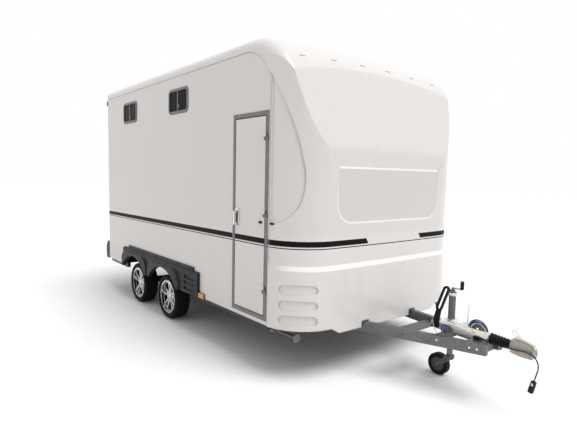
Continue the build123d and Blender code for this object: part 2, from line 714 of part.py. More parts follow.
# Tyres and rims, turned about the Y axis
bead_half = 75
shoulder_y, shoulder_drop = 74, 5
rim_half = 82
rim_gauge = 9
hub_radius = 58
spoke_pairs = 5
spoke_windows = [
    # turn from a pair's middle, middle radius, outer width, height, side angle
    (180 / spoke_pairs, 120, 104, 96, 110),
    (0, 124, 38, 84, 98),
]
for side, sign in sides.items():
    for axle_name, station in axle_stations.items():
        centre = (behind(station), sign * wheel_y, wheel_z)
        wheel_plane = Plane(centre, x_dir=(0, sign, 0), z_dir=(-sign, 0, 0))
        with BuildPart() as tyre:
            with BuildSketch(wheel_plane):
                with BuildLine():
                    shoulders = [(y, tyre_diameter / 2 - shoulder_drop) for y in (shoulder_y, -shoulder_y)]
                    beads = [(y, rim_diameter / 2 + 1) for y in (bead_half, -bead_half)]
                    mid_height = (rim_diameter + tyre_diameter) / 4
                    ThreePointArc(beads[0], (tyre_width / 2, mid_height), shoulders[0])
                    ThreePointArc(shoulders[0], (0, tyre_diameter / 2), shoulders[1])
                    ThreePointArc(shoulders[1], (-tyre_width / 2, mid_height), beads[1])
                    Polyline(beads[1], (-bead_half, rim_barrel / 2), (bead_half, rim_barrel / 2), beads[0])
                make_face()
            revolve(axis=Axis(centre, (0, 1, 0)))
        finish(tyre.part, f"tyre_{axle_name}_{side}")
        with BuildPart() as rim:
            with BuildSketch(wheel_plane):
                with BuildLine():
                    Polyline(
                        (-rim_half, rim_diameter / 2), (-bead_half, rim_diameter / 2),
                        (-bead_half, rim_barrel / 2), (bead_half, rim_barrel / 2),
                        (bead_half, rim_diameter / 2), (rim_half, rim_diameter / 2),
                        (rim_half, rim_barrel / 2 - rim_gauge), (-rim_half, rim_barrel / 2 - rim_gauge), close=True,
                    )
                make_face()
            revolve(axis=Axis(centre, (0, 1, 0)))
            with BuildSketch(Plane((centre[0], sign * (wheel_y + 28), wheel_z), x_dir=(1, 0, 0), z_dir=(0, sign, 0))):
                Circle(rim_barrel / 2 - rim_gauge + 1)
                for turn, radius, width, height, angle in spoke_windows:
                    with PolarLocations(radius, spoke_pairs, start_angle=90 + turn):
                        Trapezoid(width, height, angle, rotation=-90, mode=Mode.SUBTRACT)
            extrude(amount=22)
            with Locations(Location((centre[0], sign * (wheel_y + 10), wheel_z), (90, 0, 0))):
                Cylinder(hub_radius, 80)
            with Locations(Location((centre[0], sign * (wheel_y + 5), wheel_z), (90, 0, 0))):
                Cylinder(stub_radius + running_fit, 70, mode=Mode.SUBTRACT)
        finish(rim.part, f"rim_{axle_name}_{side}")

# Fenders with a flared arch over each wheel and louvre slots ahead of them
rail_start, rail_end = fender_start + 120, fender_end - 180
for side, sign in sides.items():
    fender_face = sign * (wall_face + fender_thickness)
    with BuildPart() as flares:
        with BuildSketch(Plane((0, fender_face - sign, 0), x_dir=(1, 0, 0), z_dir=(0, sign, 0))) as arches:
            for station in axle_stations.values():
                with Locations((behind(station), -sign * flare_top / 2)):
                    Rectangle(2 * flare_half, flare_top)
            fillet(arches.vertices().filter_by(lambda corner: abs(corner.Y) > flare_top / 2), flare_corner)
        extrude(amount=flare_proud + 1, taper=flare_draft)
        slab((behind(fender_end), behind(fender_start)), ordered(fender_face - sign, 2 * fender_face),
             (fender_bottom, fender_top), mode=Mode.INTERSECT)
    with BuildPart() as fender:
        with BuildSketch(Plane.XZ.offset(-sign * wall_face)):
            with Locations((behind((fender_start + fender_end) / 2), (fender_bottom + fender_top) / 2)):
                Rectangle(fender_end - fender_start, fender_top - fender_bottom)
        extrude(amount=-sign * fender_thickness)
        outer_edges = fender.faces().sort_by(Axis.Y)[0 if sign < 0 else -1].edges()
        chamfer(outer_edges.filter_by(Axis.X).sort_by(Axis.Z)[-1], fender_chamfer)
        add(flares.part)
        with BuildSketch(Plane.XZ.offset(-sign * wall_face)):
            with Locations(*[(behind(station), wheel_z - arch_drop) for station in axle_stations.values()]):
                Circle(arch_radius)
        extrude(amount=-sign * 3 * fender_thickness, mode=Mode.SUBTRACT)
        for height in slot_heights:
            slab((behind(fender_start + slot_end), behind(fender_start + slot_start)),
                 ordered(fender_face, fender_face - sign * slot_depth),
                 (height - slot_size / 2, height + slot_size / 2), mode=Mode.SUBTRACT)
        slab((behind(rail_end), behind(rail_start)), ordered(sign * wall_face, sign * (wall_face + 18)),
             (fender_top - 1, fender_top + fender_rail_height))
    finish(fender.part, f"fender_{side}")

# Rear bumper and lamps
bumper_low, bumper_top = wall_bottom - 10, 690
bumper_round = 40
bumper_face = rear_x - bumper_depth
with BuildPart() as rear_bumper:
    with BuildSketch(Plane.XZ) as section:
        with BuildLine():
            Polyline(
                (rear_x, bumper_low), (bumper_face + 20, bumper_low), (bumper_face, bumper_low + 65),
                (bumper_face, bumper_top - 90), (bumper_face + 50, bumper_top), (rear_x, bumper_top), close=True,
            )
        make_face()
        fillet(section.vertices().group_by(Axis.X)[0], bumper_round)
    extrude(amount=wall_face, both=True)
finish(rear_bumper.part, "rear_bumper")

lamp_size = (35, 95, 240)
lamp_round = 12
with BuildPart() as tail_lamps:
    for sign in sides.values():
        with Locations((rear_x - lamp_size[0] / 2, sign * (wall_face - lamp_size[1]), bumper_top + 160)):
            Box(*lamp_size)
    fillet(tail_lamps.edges().filter_by(Axis.X), lamp_round)
finish(tail_lamps.part, "tail_lamps")

with BuildPart() as outline_lamps:
    for sign in sides.values():
        slab((rear_x - 40, rear_x), ordered(sign * (wall_face - 45), sign * (wall_face - 5)),
             (seam_height - 85, seam_height - 15))
finish(outline_lamps.part, "outline_lamps")

marker_size = (100, 25, 47)
with BuildPart() as side_markers:
    for sign in sides.values():
        slab((behind(fender_start - 8), behind(fender_start - 8 - marker_size[0])),
             ordered(sign * wall_face, sign * (wall_face + marker_size[1])), (wall_bottom, wall_bottom + marker_size[2]))
finish(side_markers.part, "side_markers")

reflector_size = (60, 8, 50)
with BuildPart() as side_reflectors:
    for sign in sides.values():
        slab((behind(fender_end + 50 + reflector_size[0]), behind(fender_end + 50)),
             ordered(sign * wall_face, sign * (wall_face + reflector_size[1])),
             (wall_bottom + 75, wall_bottom + 75 + reflector_size[2]))
finish(side_reflectors.part, "side_reflectors")

# Drawbar: two rails that meet at the coupling
drawbar_run = Vector(drawbar_tip - drawbar_back, drawbar_close - drawbar_spread, 0)
cross_plates = [
    # start and end ahead of the nose plane, lower and upper side
    (230, 380, rail_top(0) - 34, rail_top(0) - 28),
    (630, 700, housing_seat - 36, housing_seat),
    (860, housing_end, drawbar_low_tip, housing_seat),
]
with BuildPart() as drawbar:
    for sign in sides.values():
        rail_plane = Plane(
            origin=(nose_x + drawbar_back, sign * drawbar_spread, 0),
            x_dir=(drawbar_run.X, sign * drawbar_run.Y, 0),
            z_dir=Vector(drawbar_run.X, sign * drawbar_run.Y, 0).cross(Vector(0, 0, 1)),
        )
        with BuildSketch(rail_plane):
            with BuildLine():
                Polyline(
                    (0, drawbar_low_back), (drawbar_run.length, drawbar_low_tip),
                    (drawbar_run.length, drawbar_low_tip + drawbar_depth),
                    (0, drawbar_low_back + drawbar_depth), close=True,
                )
            make_face()
        extrude(amount=drawbar_width / 2, both=True)
        slab((behind(front_cross + 30), behind(front_cross - 30)),
             ordered(sign * rail_centre(-front_cross) - 16, sign * rail_centre(-front_cross) + 16),
             (drawbar_low_back + drawbar_depth / 2, cross_low))
    for start, end, low, top in cross_plates:
        slab((nose_x + start, nose_x + end), (-rail_centre(start), rail_centre(start)), (low, top))
finish(drawbar.part, "drawbar")

# Overrun housing, gaiter, coupling head with its ball socket, and levers
housing_half = 50
tube_height = shaft_height + 8
tube_radius = 30
lever_thickness = 20
with BuildPart() as overrun_housing:
    with BuildSketch(Plane.XZ):
        with BuildLine():
            Polyline((nose_x + 700, housing_seat), (nose_x + housing_end - 5, housing_seat),
                     (nose_x + housing_end - 5, shaft_height), (nose_x + 720, shaft_height + 40),
                     (nose_x + 700, shaft_height + 40), close=True)
        make_face()
    extrude(amount=housing_half, both=True)
    slab((nose_x + 490, nose_x + 705), (-housing_half, housing_half), (housing_seat, tube_height + 20))
    for start, radius in ((housing_start, tube_radius), (housing_end - 30, tube_radius + 2)):
        with Locations(Location((nose_x + (start + housing_end) / 2, 0, tube_height), (0, 90, 0))):
            Cylinder(radius, housing_end - start)
finish(overrun_housing.part, "overrun_housing")

gaiter_radii = (46, 33)
gaiter_folds = 7
fold_depth = 7
with BuildPart() as shaft_gaiter:
    fold = (gaiter_end - housing_end) / gaiter_folds
    shrink = (gaiter_radii[0] - gaiter_radii[1]) / gaiter_folds
    with BuildSketch(Plane.XZ):
        with BuildLine():
            ridge = [(nose_x + housing_end, shaft_height)]
            for count in range(gaiter_folds):
                start, radius = nose_x + housing_end + count * fold, gaiter_radii[0] - count * shrink
                ridge += [(start, shaft_height + radius - fold_depth), (start + fold / 2, shaft_height + radius)]
            ridge += [(nose_x + gaiter_end, shaft_height + gaiter_radii[1] - fold_depth),
                      (nose_x + gaiter_end, shaft_height)]
            Polyline(*ridge, close=True)
        make_face()
    revolve(axis=Axis((0, 0, shaft_height), (1, 0, 0)))
finish(shaft_gaiter.part, "shaft_gaiter")

ball_x = nose_x + 1275
ball_radius = 25
head_low, head_top, head_half = 440, 548, 38
with BuildPart() as coupling_head:
    with BuildSketch(Plane.XZ):
        with BuildLine():
            Polyline(
                (nose_x + gaiter_end, head_low + 12), (nose_x + 1225, head_low), (nose_x + 1320, head_low),
                (nose_x + hitch_reach, head_low + 35), (nose_x + 1310, head_top - 18), (nose_x + 1240, head_top),
                (nose_x + gaiter_end, head_top), close=True,
            )
        make_face()
    extrude(amount=head_half, both=True)
    for band in (head_low + 22, head_low + 60):
        slab((nose_x + gaiter_end + 20, nose_x + hitch_reach - 20), (-head_half - 4, head_half + 4), (band, band + 12))
    with Locations((ball_x, 0, 470)):
        Sphere(ball_radius + 0.5, mode=Mode.SUBTRACT)
    with Locations((ball_x, 0, 440)):
        Cylinder(ball_radius + 0.5, 60, mode=Mode.SUBTRACT)
finish(coupling_head.part, "coupling_head")

ring_radius, ring_wire, ring_tilt = 28, 6, 40
with BuildPart() as coupling_handle:
    with BuildSketch(Plane.XZ):
        with BuildLine():
            Polyline((nose_x + 1182, head_top), (nose_x + 1240, head_top), (nose_x + 1310, head_top - 18),
                     (nose_x + 1320, head_top - 43), (nose_x + 1328, head_top - 38), (nose_x + 1317, head_top - 6),
                     (nose_x + 1245, head_top + 13), (nose_x + 1212, head_top + 28), (nose_x + 1190, head_top + 26),
                     close=True)
        make_face()
    extrude(amount=12, both=True)
    with Locations(Location((nose_x + 1180, 0, head_top + 44), (0, ring_tilt, 0))):
        Torus(ring_radius, ring_wire)
finish(coupling_handle.part, "coupling_handle")

grip_start, grip_end = (565, 655), (625, 820)
grip_width = 56
grip_bar = 16
with BuildPart() as handbrake_lever:
    with BuildSketch(Plane.XZ.offset(housing_half)):
        with BuildLine():
            Polyline(
                (nose_x + 500, housing_seat + 4), (nose_x + 560, housing_seat + 4), (nose_x + 586, grip_start[1]),
                (nose_x + 548, grip_start[1]), close=True,
            )
        make_face()
        grip_run = Vector(*grip_end) - Vector(*grip_start)
        grip_middle = Vector(nose_x, 0) + (Vector(*grip_start) + Vector(*grip_end)) / 2
        grip_turn = Vector(1, 0).get_angle(grip_run)
        with Locations(Location((grip_middle.X, grip_middle.Y), grip_turn)):
            SlotCenterToCenter(grip_run.length, grip_width)
            SlotCenterToCenter(grip_run.length, grip_width - 2 * grip_bar, mode=Mode.SUBTRACT)
    extrude(amount=lever_thickness)
finish(handbrake_lever.part, "handbrake_lever")

# Jockey wheel: clamp, outer tube with its crank, sliding stem, castor fork and wheel
collar_radius = 36
jockey_axis = (nose_x + jockey_x, jockey_y)
with BuildPart() as jockey_clamp:
    slab((jockey_axis[0] - 40, jockey_axis[0] + 40), (housing_half, jockey_y + 44), (480, 528))
    with Locations((jockey_axis[0], jockey_axis[1], 510)):
        Cylinder(jockey_tube_radius, 80, mode=Mode.SUBTRACT)
    slab((nose_x + 712, nose_x + 748), (housing_half, 124), (shaft_height + 8, shaft_height + 24))
    with Locations((nose_x + 730, 110, shaft_height + 104)):
        Cylinder(5, 160)
finish(jockey_clamp.part, "jockey_clamp")

with BuildPart() as jockey_tube:
    with Locations((*jockey_axis, (jockey_tube_low + jockey_tube_top) / 2)):
        Cylinder(jockey_tube_radius, jockey_tube_top - jockey_tube_low)
    with Locations((*jockey_axis, jockey_tube_top - 15)):
        Cylinder(collar_radius, 30)
    with Locations((*jockey_axis, (jockey_tube_low + jockey_tube_top) / 2 - 20)):
        Cylinder(jockey_stem_radius + running_fit, jockey_tube_top - jockey_tube_low, mode=Mode.SUBTRACT)
    with Locations((*jockey_axis, jockey_tube_top + 12)):
        Cylinder(22, 24)
    crank_z = jockey_tube_top + 34
    with Locations((*jockey_axis, jockey_tube_top + 27)):
        Cylinder(9, 30)
    slab((jockey_axis[0] - 9, jockey_axis[0] + 95), (jockey_y - 6, jockey_y + 6), (crank_z, crank_z + 8))
    with Locations((jockey_axis[0] + 86, jockey_y, crank_z + 42)):
        Cylinder(13, 70)
finish(jockey_tube.part, "jockey_tube")

stem_low = 205
with BuildPart() as jockey_stem:
    with Locations((*jockey_axis, (stem_low + 560) / 2)):
        Cylinder(jockey_stem_radius, 560 - stem_low)
    with Locations((*jockey_axis, stem_low - 15)):
        Cylinder(10, 30)
finish(jockey_stem.part, "jockey_stem")

fork_gap = 32
with BuildPart() as jockey_fork:
    slab((jockey_axis[0] - 24, jockey_axis[0] + 24), (jockey_y - fork_gap - 6, jockey_y + fork_gap + 6),
         (176, stem_low - 1))
    with Locations((*jockey_axis, stem_low - 15)):
        Cylinder(10 + running_fit, 40, mode=Mode.SUBTRACT)
    for shift in (-1, 1):
        with BuildSketch(Plane.XZ.offset(-jockey_y - shift * (fork_gap + 3))):
            with Locations((jockey_axis[0], 178)):
                Circle(24)
            with Locations((jockey_axis[0] - jockey_trail, jockey_wheel_radius)):
                Circle(16)
            make_hull()
        extrude(amount=3, both=True)
    with Locations(Location((jockey_axis[0] - jockey_trail, jockey_y, jockey_wheel_radius), (90, 0, 0))):
        Cylinder(8, 2 * fork_gap)
finish(jockey_fork.part, "jockey_fork")

with BuildPart() as jockey_wheel:
    with Locations(Location((jockey_axis[0] - jockey_trail, jockey_y, jockey_wheel_radius), (90, 0, 0))):
        Cylinder(jockey_wheel_radius, jockey_wheel_width)
        Cylinder(8 + running_fit, jockey_wheel_width, mode=Mode.SUBTRACT)
finish(jockey_wheel.part, "jockey_wheel")

# Plug cable: gland on the housing, a route beside the gaiter, then down to the plug
cable_radius = 4.5
cable_route = [
    # ahead of the nose, y, z
    (925, -62, 492), (985, -62, 492), (1055, -68, 488), (1135, -66, 484), (1215, -60, 490),
    (1290, -54, 494), (1352, -52, 474), (1378, -50, 412), (1362, -50, 345), (1350, -50, 295),
]
cable_points = [Vector(nose_x + x, y, z) for x, y, z in cable_route]


def corner_radii(points):
    """Arc radius at each inner point: 0.45 of the shorter run over the tangent of half the turn."""
    radii = []
    for before, here, after in zip(points, points[1:], points[2:]):
        turn = (here - before).get_angle(after - here)
        shorter = min((here - before).length, (after - here).length)
        radii.append(0.45 * shorter / tan(radians(turn / 2)))
    return radii


cable_radii = corner_radii(cable_points)
print("cable radii", [round(radius) for radius in cable_radii])
with BuildPart() as plug_cable:
    with BuildLine() as route:
        FilletPolyline(*cable_points, radius=cable_radii)
    cable_path = route.wires()[0]
    with BuildSketch(Plane(cable_path @ 0, z_dir=cable_path % 0)):
        Circle(cable_radius)
    sweep(path=cable_path)
finish(plug_cable.part, "plug_cable")
cable_length = cable_path.length
print("cable length", round(cable_length), "volume over section times length",
      round(plug_cable.part.volume / (pi * cable_radius ** 2 * cable_length), 4))

with BuildPart() as cable_plug:
    with BuildSketch(Plane(cable_path @ 1, z_dir=cable_path % 1)):
        Circle(20)
    extrude(amount=85)
finish(cable_plug.part, "cable_plug")

with BuildPart() as cable_gland:
    slab((nose_x + 885, nose_x + 925), (-75, -housing_half), (480, 504))
finish(cable_gland.part, "cable_gland")
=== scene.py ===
# %% [markdown]
# # A two-axle horse trailer
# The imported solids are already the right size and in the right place. This notebook gives them
# their finishes, rolls out tyres with a real tread, sets the small fasteners, seals and lenses, and
# lights the trailer as in a plain studio. Lengths are metres: X runs to the coupling, Y to the left
# side, Z up.

# %% Frame
import json

import bmesh
import bpy
import numpy as np
from mathutils import Matrix, Vector
from mathutils.bvhtree import BVHTree


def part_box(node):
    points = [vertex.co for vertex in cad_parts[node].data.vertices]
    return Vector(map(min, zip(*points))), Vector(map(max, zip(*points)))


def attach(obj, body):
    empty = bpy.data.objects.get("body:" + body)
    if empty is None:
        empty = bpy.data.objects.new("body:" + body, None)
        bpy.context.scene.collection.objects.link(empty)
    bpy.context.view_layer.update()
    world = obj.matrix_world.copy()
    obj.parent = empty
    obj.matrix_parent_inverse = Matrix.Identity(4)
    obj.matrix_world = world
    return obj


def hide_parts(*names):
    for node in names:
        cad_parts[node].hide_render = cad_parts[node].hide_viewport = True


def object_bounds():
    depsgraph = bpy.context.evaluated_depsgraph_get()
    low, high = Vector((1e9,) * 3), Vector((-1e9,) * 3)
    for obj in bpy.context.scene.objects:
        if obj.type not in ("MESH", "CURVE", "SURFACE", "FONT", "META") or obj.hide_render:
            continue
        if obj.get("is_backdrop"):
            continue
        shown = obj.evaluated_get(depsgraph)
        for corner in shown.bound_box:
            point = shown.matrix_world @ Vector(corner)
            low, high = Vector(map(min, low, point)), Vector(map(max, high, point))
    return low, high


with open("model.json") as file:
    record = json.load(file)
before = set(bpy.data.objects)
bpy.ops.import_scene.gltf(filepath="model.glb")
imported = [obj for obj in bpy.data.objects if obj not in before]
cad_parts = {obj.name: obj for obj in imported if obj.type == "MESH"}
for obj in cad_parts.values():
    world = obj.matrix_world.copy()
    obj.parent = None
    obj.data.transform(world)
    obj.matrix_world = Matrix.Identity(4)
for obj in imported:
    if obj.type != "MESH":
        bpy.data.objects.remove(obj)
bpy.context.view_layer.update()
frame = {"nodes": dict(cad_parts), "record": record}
nodes = frame["nodes"]
print("solids loaded:", len(nodes))


def corners(node):
    """Lowest and highest corner of a solid as two arrays."""
    low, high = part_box(node)
    return np.array(low), np.array(high)


# %% [markdown]
# ## Places to measure from
# Most small pieces are placed along the body, so a few lines serve as rulers: the nose plane, the
# outer faces of walls and mouldings, and the seam where the moulded nose meets the walls. Its top
# is a quarter circle.

# %% Rulers
NOSE_X = 1.600
PROUD = 0.004                   # mouldings, frames and leaves stand this far out of the walls
SEAM_BEHIND = 0.375
SEAM_RADIUS = 0.380
SIDES = {"right": -1, "left": 1}
wall_low, wall_high = corners("side_wall_right")
wall_face = -wall_low[1]
side_face = wall_face + PROUD
rear_x = corners("rear_wall")[0][0]
print("wall face:", round(float(wall_face), 3), "rear wall:", round(float(rear_x), 3))


def behind(distance):
    """X of places this far behind the nose plane."""
    return NOSE_X - distance


def places(x, y, z):
    """Places as rows (x, y, z), from arrays and single numbers."""
    return np.stack(np.broadcast_arrays(x, y, z), -1).astype(float)


def seam_arc(degrees, outside=0.0):
    """X and Z on the seam's quarter circle, or this far outside it."""
    turn = np.radians(degrees)
    centre = np.array([behind(SEAM_BEHIND) - SEAM_RADIUS, wall_high[2] - SEAM_RADIUS])
    return centre + (SEAM_RADIUS + outside) * np.stack([np.cos(turn), np.sin(turn)], -1)


# %% [markdown]
# ## Surfaces from arrays
# Three builders make the new pieces. A seal, a bead or a hose is a tube carried along a path. A
# bolt head or a dome is a profile turned about an axis. A catch or a lens is a pillow: a box whose
# edges are rounded by pushing every point of a sphere outwards to the box's corner. All points are
# worked out at once as arrays, and quads are counted out by row and column.

# %% Mesh builders
PILLOW_STEPS = 3                # points on each quarter turn of a rounded edge
MERGE_DISTANCE = 0.000002


def grid_faces(rows, columns, close_rows=False, close_columns=False):
    """Quads of a grid whose point (row, column) has the number row * columns + column."""
    row = np.arange(rows if close_rows else rows - 1)[:, None]
    column = np.arange(columns if close_columns else columns - 1)[None, :]
    next_row, next_column = (row + 1) % rows, (column + 1) % columns
    quads = [row * columns + column, row * columns + next_column,
             next_row * columns + next_column, next_row * columns + column]
    return np.stack(np.broadcast_arrays(*quads), -1).reshape(-1, 4)


def copies(points, faces):
    """Points (copy, row, column, 3) and the faces of one copy as one mesh."""
    size = points[0].size // 3
    shifted = faces[None] + (np.arange(len(points)) * size)[:, None, None]
    return points.reshape(-1, 3), shifted.reshape(-1, 4)


def turned(profile, centres, axes, turns=12):
    """Profiles turned about axes: centre + axis * along + radius * (cos, sin) across the axis.

    The profile is rows of (along, radius), and it starts and ends on the axis, with radius 0.
    """
    profile, centres = np.asarray(profile, float), np.atleast_2d(centres).astype(float)
    axes = np.broadcast_to(np.asarray(axes, float), centres.shape)
    axes = axes / np.linalg.norm(axes, axis=1, keepdims=True)
    helper = np.where(np.abs(axes[:, 2:]) < 0.9, [[0.0, 0.0, 1.0]], [[1.0, 0.0, 0.0]])
    first = np.cross(axes, helper)
    first /= np.linalg.norm(first, axis=1, keepdims=True)
    second = np.cross(axes, first)
    turn = np.linspace(0, 2 * np.pi, turns, endpoint=False)
    across = first[:, None] * np.cos(turn)[:, None] + second[:, None] * np.sin(turn)[:, None]
    points = (centres[:, None, None] + axes[:, None, None] * profile[None, :, None, :1]
              + across[:, None] * profile[None, :, None, 1:])
    return copies(points, grid_faces(len(profile), turns, close_columns=True))


def pillows(centres, halves, radius):
    """Boxes with rounded edges: each point of a small sphere is pushed out to a corner of the box."""
    centres = np.atleast_2d(centres).astype(float)
    halves = np.broadcast_to(np.asarray(halves, float), centres.shape)
    quarter = np.linspace(0, np.pi / 2, PILLOW_STEPS)
    around = np.concatenate([quarter + turn * np.pi / 2 for turn in range(4)])
    climb = np.concatenate([quarter - np.pi / 2, quarter])[:, None]
    ball = places(np.cos(climb) * np.cos(around), np.cos(climb) * np.sin(around), np.sin(climb)) * radius
    sign = places(np.repeat([1, -1, -1, 1], PILLOW_STEPS), np.repeat([1, 1, -1, -1], PILLOW_STEPS),
                  np.repeat([-1, 1], PILLOW_STEPS)[:, None])
    points = sign * (halves[:, None, None] - radius) + ball
    caps = points[:, [0, -1]].mean(axis=2, keepdims=True) + np.zeros((1, 1, around.size, 1))
    points = np.concatenate([caps[:, :1], points, caps[:, 1:]], axis=1) + centres[:, None, None]
    return copies(points, grid_faces(points.shape[1], around.size, close_columns=True))


def tube(path, radius, reference=(0, 0, 1), turns=8, closed=False):
    """A tube along a path: each point has a ring in the plane across the path's direction."""
    path = np.asarray(path, float)
    if closed:
        heading = np.roll(path, -1, axis=0) - np.roll(path, 1, axis=0)
    else:
        heading = np.gradient(path, axis=0)
    heading /= np.linalg.norm(heading, axis=1, keepdims=True)
    first = np.cross(heading, np.asarray(reference, float))
    first /= np.linalg.norm(first, axis=1, keepdims=True)
    second = np.cross(heading, first)
    turn = np.linspace(0, 2 * np.pi, turns, endpoint=False)[:, None]
    ring = first[:, None] * np.cos(turn) + second[:, None] * np.sin(turn)
    radius = np.full(len(path), float(radius))
    if not closed:
        path, ring = path[[0, *range(len(path)), -1]], ring[[0, *range(len(ring)), -1]]
        radius = np.concatenate([[0.0], radius, [0.0]])
    points = path[:, None] + ring * radius[:, None, None]
    return points.reshape(-1, 3), grid_faces(len(path), turns, close_rows=closed, close_columns=True)


def add_piece(name, parts, finish, body="trailer", smooth=True):
    """One mesh of several parts that rides on a body, its poles merged and its faces outwards."""
    starts = np.cumsum([0] + [len(points) for points, _ in parts])
    points = np.concatenate([points for points, _ in parts])
    faces = np.concatenate([faces + start for (_, faces), start in zip(parts, starts)])
    mesh = bpy.data.meshes.new(name)
    mesh.from_pydata(points.tolist(), [], faces.tolist())
    shell = bmesh.new()
    shell.from_mesh(mesh)
    bmesh.ops.remove_doubles(shell, verts=shell.verts, dist=MERGE_DISTANCE)
    bmesh.ops.recalc_face_normals(shell, faces=shell.faces)
    shell.to_mesh(mesh)
    shell.free()
    mesh.polygons.foreach_set("use_smooth", [smooth] * len(mesh.polygons))
    mesh.materials.append(finish)
    mesh.update()
    piece = bpy.data.objects.new(name, mesh)
    bpy.context.scene.collection.objects.link(piece)
    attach(piece, body)
    return piece


# %% [markdown]
# ## Paths and seats
# A hose has no corners, so its path is a NURBS line of order 3 near a few chosen points, read back
# as places. Frames and panes are rectangles with round corners. A piece on a curved skin is set
# down by a ray, which says where a straight line from outside first meets the solid.


# %% Path builders
def smooth_line(points, resolution=12):
    """Places along a NURBS line of order 3 near given points."""
    curve = bpy.data.curves.new("line", "CURVE")
    curve.dimensions = "3D"
    curve.resolution_u = resolution
    spline = curve.splines.new("NURBS")
    spline.points.add(len(points) - 1)
    spline.points.foreach_set("co", [value for point in points for value in (*point, 1.0)])
    spline.order_u = 3
    spline.use_endpoint_u = True
    line = bpy.data.objects.new("line", curve)
    mesh = bpy.data.meshes.new_from_object(line)
    line_places = np.empty(len(mesh.vertices) * 3)
    mesh.vertices.foreach_get("co", line_places)
    bpy.data.objects.remove(line)
    bpy.data.curves.remove(curve)
    bpy.data.meshes.remove(mesh)
    return line_places.reshape(-1, 3)


def rounded_loop(low, high, radius, steps=6):
    """A closed rectangle with round corners in a plane: corner centres plus quarter circles."""
    quarter = np.linspace(0, np.pi / 2, steps)
    angle = np.concatenate([quarter + turn * np.pi / 2 for turn in range(4)])
    centre_x = np.repeat([high[0] - radius, low[0] + radius, low[0] + radius, high[0] - radius], steps)
    centre_z = np.repeat([high[1] - radius, high[1] - radius, low[1] + radius, low[1] + radius], steps)
    return np.stack([centre_x + radius * np.cos(angle), centre_z + radius * np.sin(angle)], -1)


def side_ring(low, high, radius, y, thickness, steps=6, turns=6):
    """A closed ring in the plane of a side wall, between two corners given as X and Z."""
    loop = rounded_loop(low, high, radius, steps)
    return tube(places(loop[:, 0], y, loop[:, 1]), thickness, (0, 1, 0), turns, closed=True)


def seat(node, origin, direction):
    """Where a straight line from outside first meets a solid."""
    tree = BVHTree.FromObject(nodes[node], bpy.context.evaluated_depsgraph_get())
    return np.array(tree.ray_cast(Vector(origin), Vector(direction))[0])


# %% [markdown]
# ## Camera
# The photograph was taken standing ahead of the right front corner. Its eye point, direction and
# roll were solved from the trailer's edges, and the focal length is given in pixels of the picture.

# %% Camera
PHOTO_WIDTH = 577
FOCAL_PIXELS = 473.1
SENSOR_WIDTH = 36.0
CLIP_END = 200
EYE = np.array([4.375, -3.4705, 1.7192])
heading, pitch, roll = np.radians([141.135, 4.895, -1.167])

ahead = np.array([np.cos(heading) * np.cos(pitch), np.sin(heading) * np.cos(pitch), -np.sin(pitch)])
level_right = np.array([np.sin(heading), -np.cos(heading), 0.0])
level_down = np.cross(ahead, level_right)
right = np.cos(roll) * level_right + np.sin(roll) * level_down
down = np.cos(roll) * level_down - np.sin(roll) * level_right

camera_data = bpy.data.cameras.new("camera")
camera_data.sensor_width = SENSOR_WIDTH
camera_data.lens = FOCAL_PIXELS / PHOTO_WIDTH * SENSOR_WIDTH
camera_data.clip_end = CLIP_END
camera = bpy.data.objects.new("camera", camera_data)
bpy.context.scene.collection.objects.link(camera)
camera.matrix_world = Matrix([*zip(right, -down, -ahead, EYE), (0, 0, 0, 1)])
bpy.context.scene.camera = camera
print("lens, mm:", round(camera_data.lens, 2))

# %% [markdown]
# ## Writing shaders as sums
# A finish is easier to read as arithmetic than as boxes and wires. `Value` wraps one socket, so
# `noise * 0.2 + 0.4` adds the Math nodes by itself. Every other node comes from `Finish.node`.


# %% Shader arithmetic
class Value:
    """One number, colour or vector in a shader."""

    def __init__(self, finish, socket):
        self.finish, self.socket = finish, socket

    def math(self, operation, *others, clamp=False):
        settings = {"operation": operation, "use_clamp": clamp}
        return self.finish.node("ShaderNodeMath", settings, [self, *others])

    def __add__(self, other):
        return self.math("ADD", other)

    def __sub__(self, other):
        return self.math("SUBTRACT", other)

    def __rsub__(self, other):
        return self.finish.node("ShaderNodeMath", {"operation": "SUBTRACT"}, [other, self])

    def __mul__(self, other):
        return self.math("MULTIPLY", other)

    def __truediv__(self, other):
        return self.math("DIVIDE", other)

    def __abs__(self):
        return self.math("ABSOLUTE")

    def clamped(self):
        return self.math("ADD", 0.0, clamp=True)

    def larger(self, other):
        return self.math("MAXIMUM", other)

    __radd__ = __add__


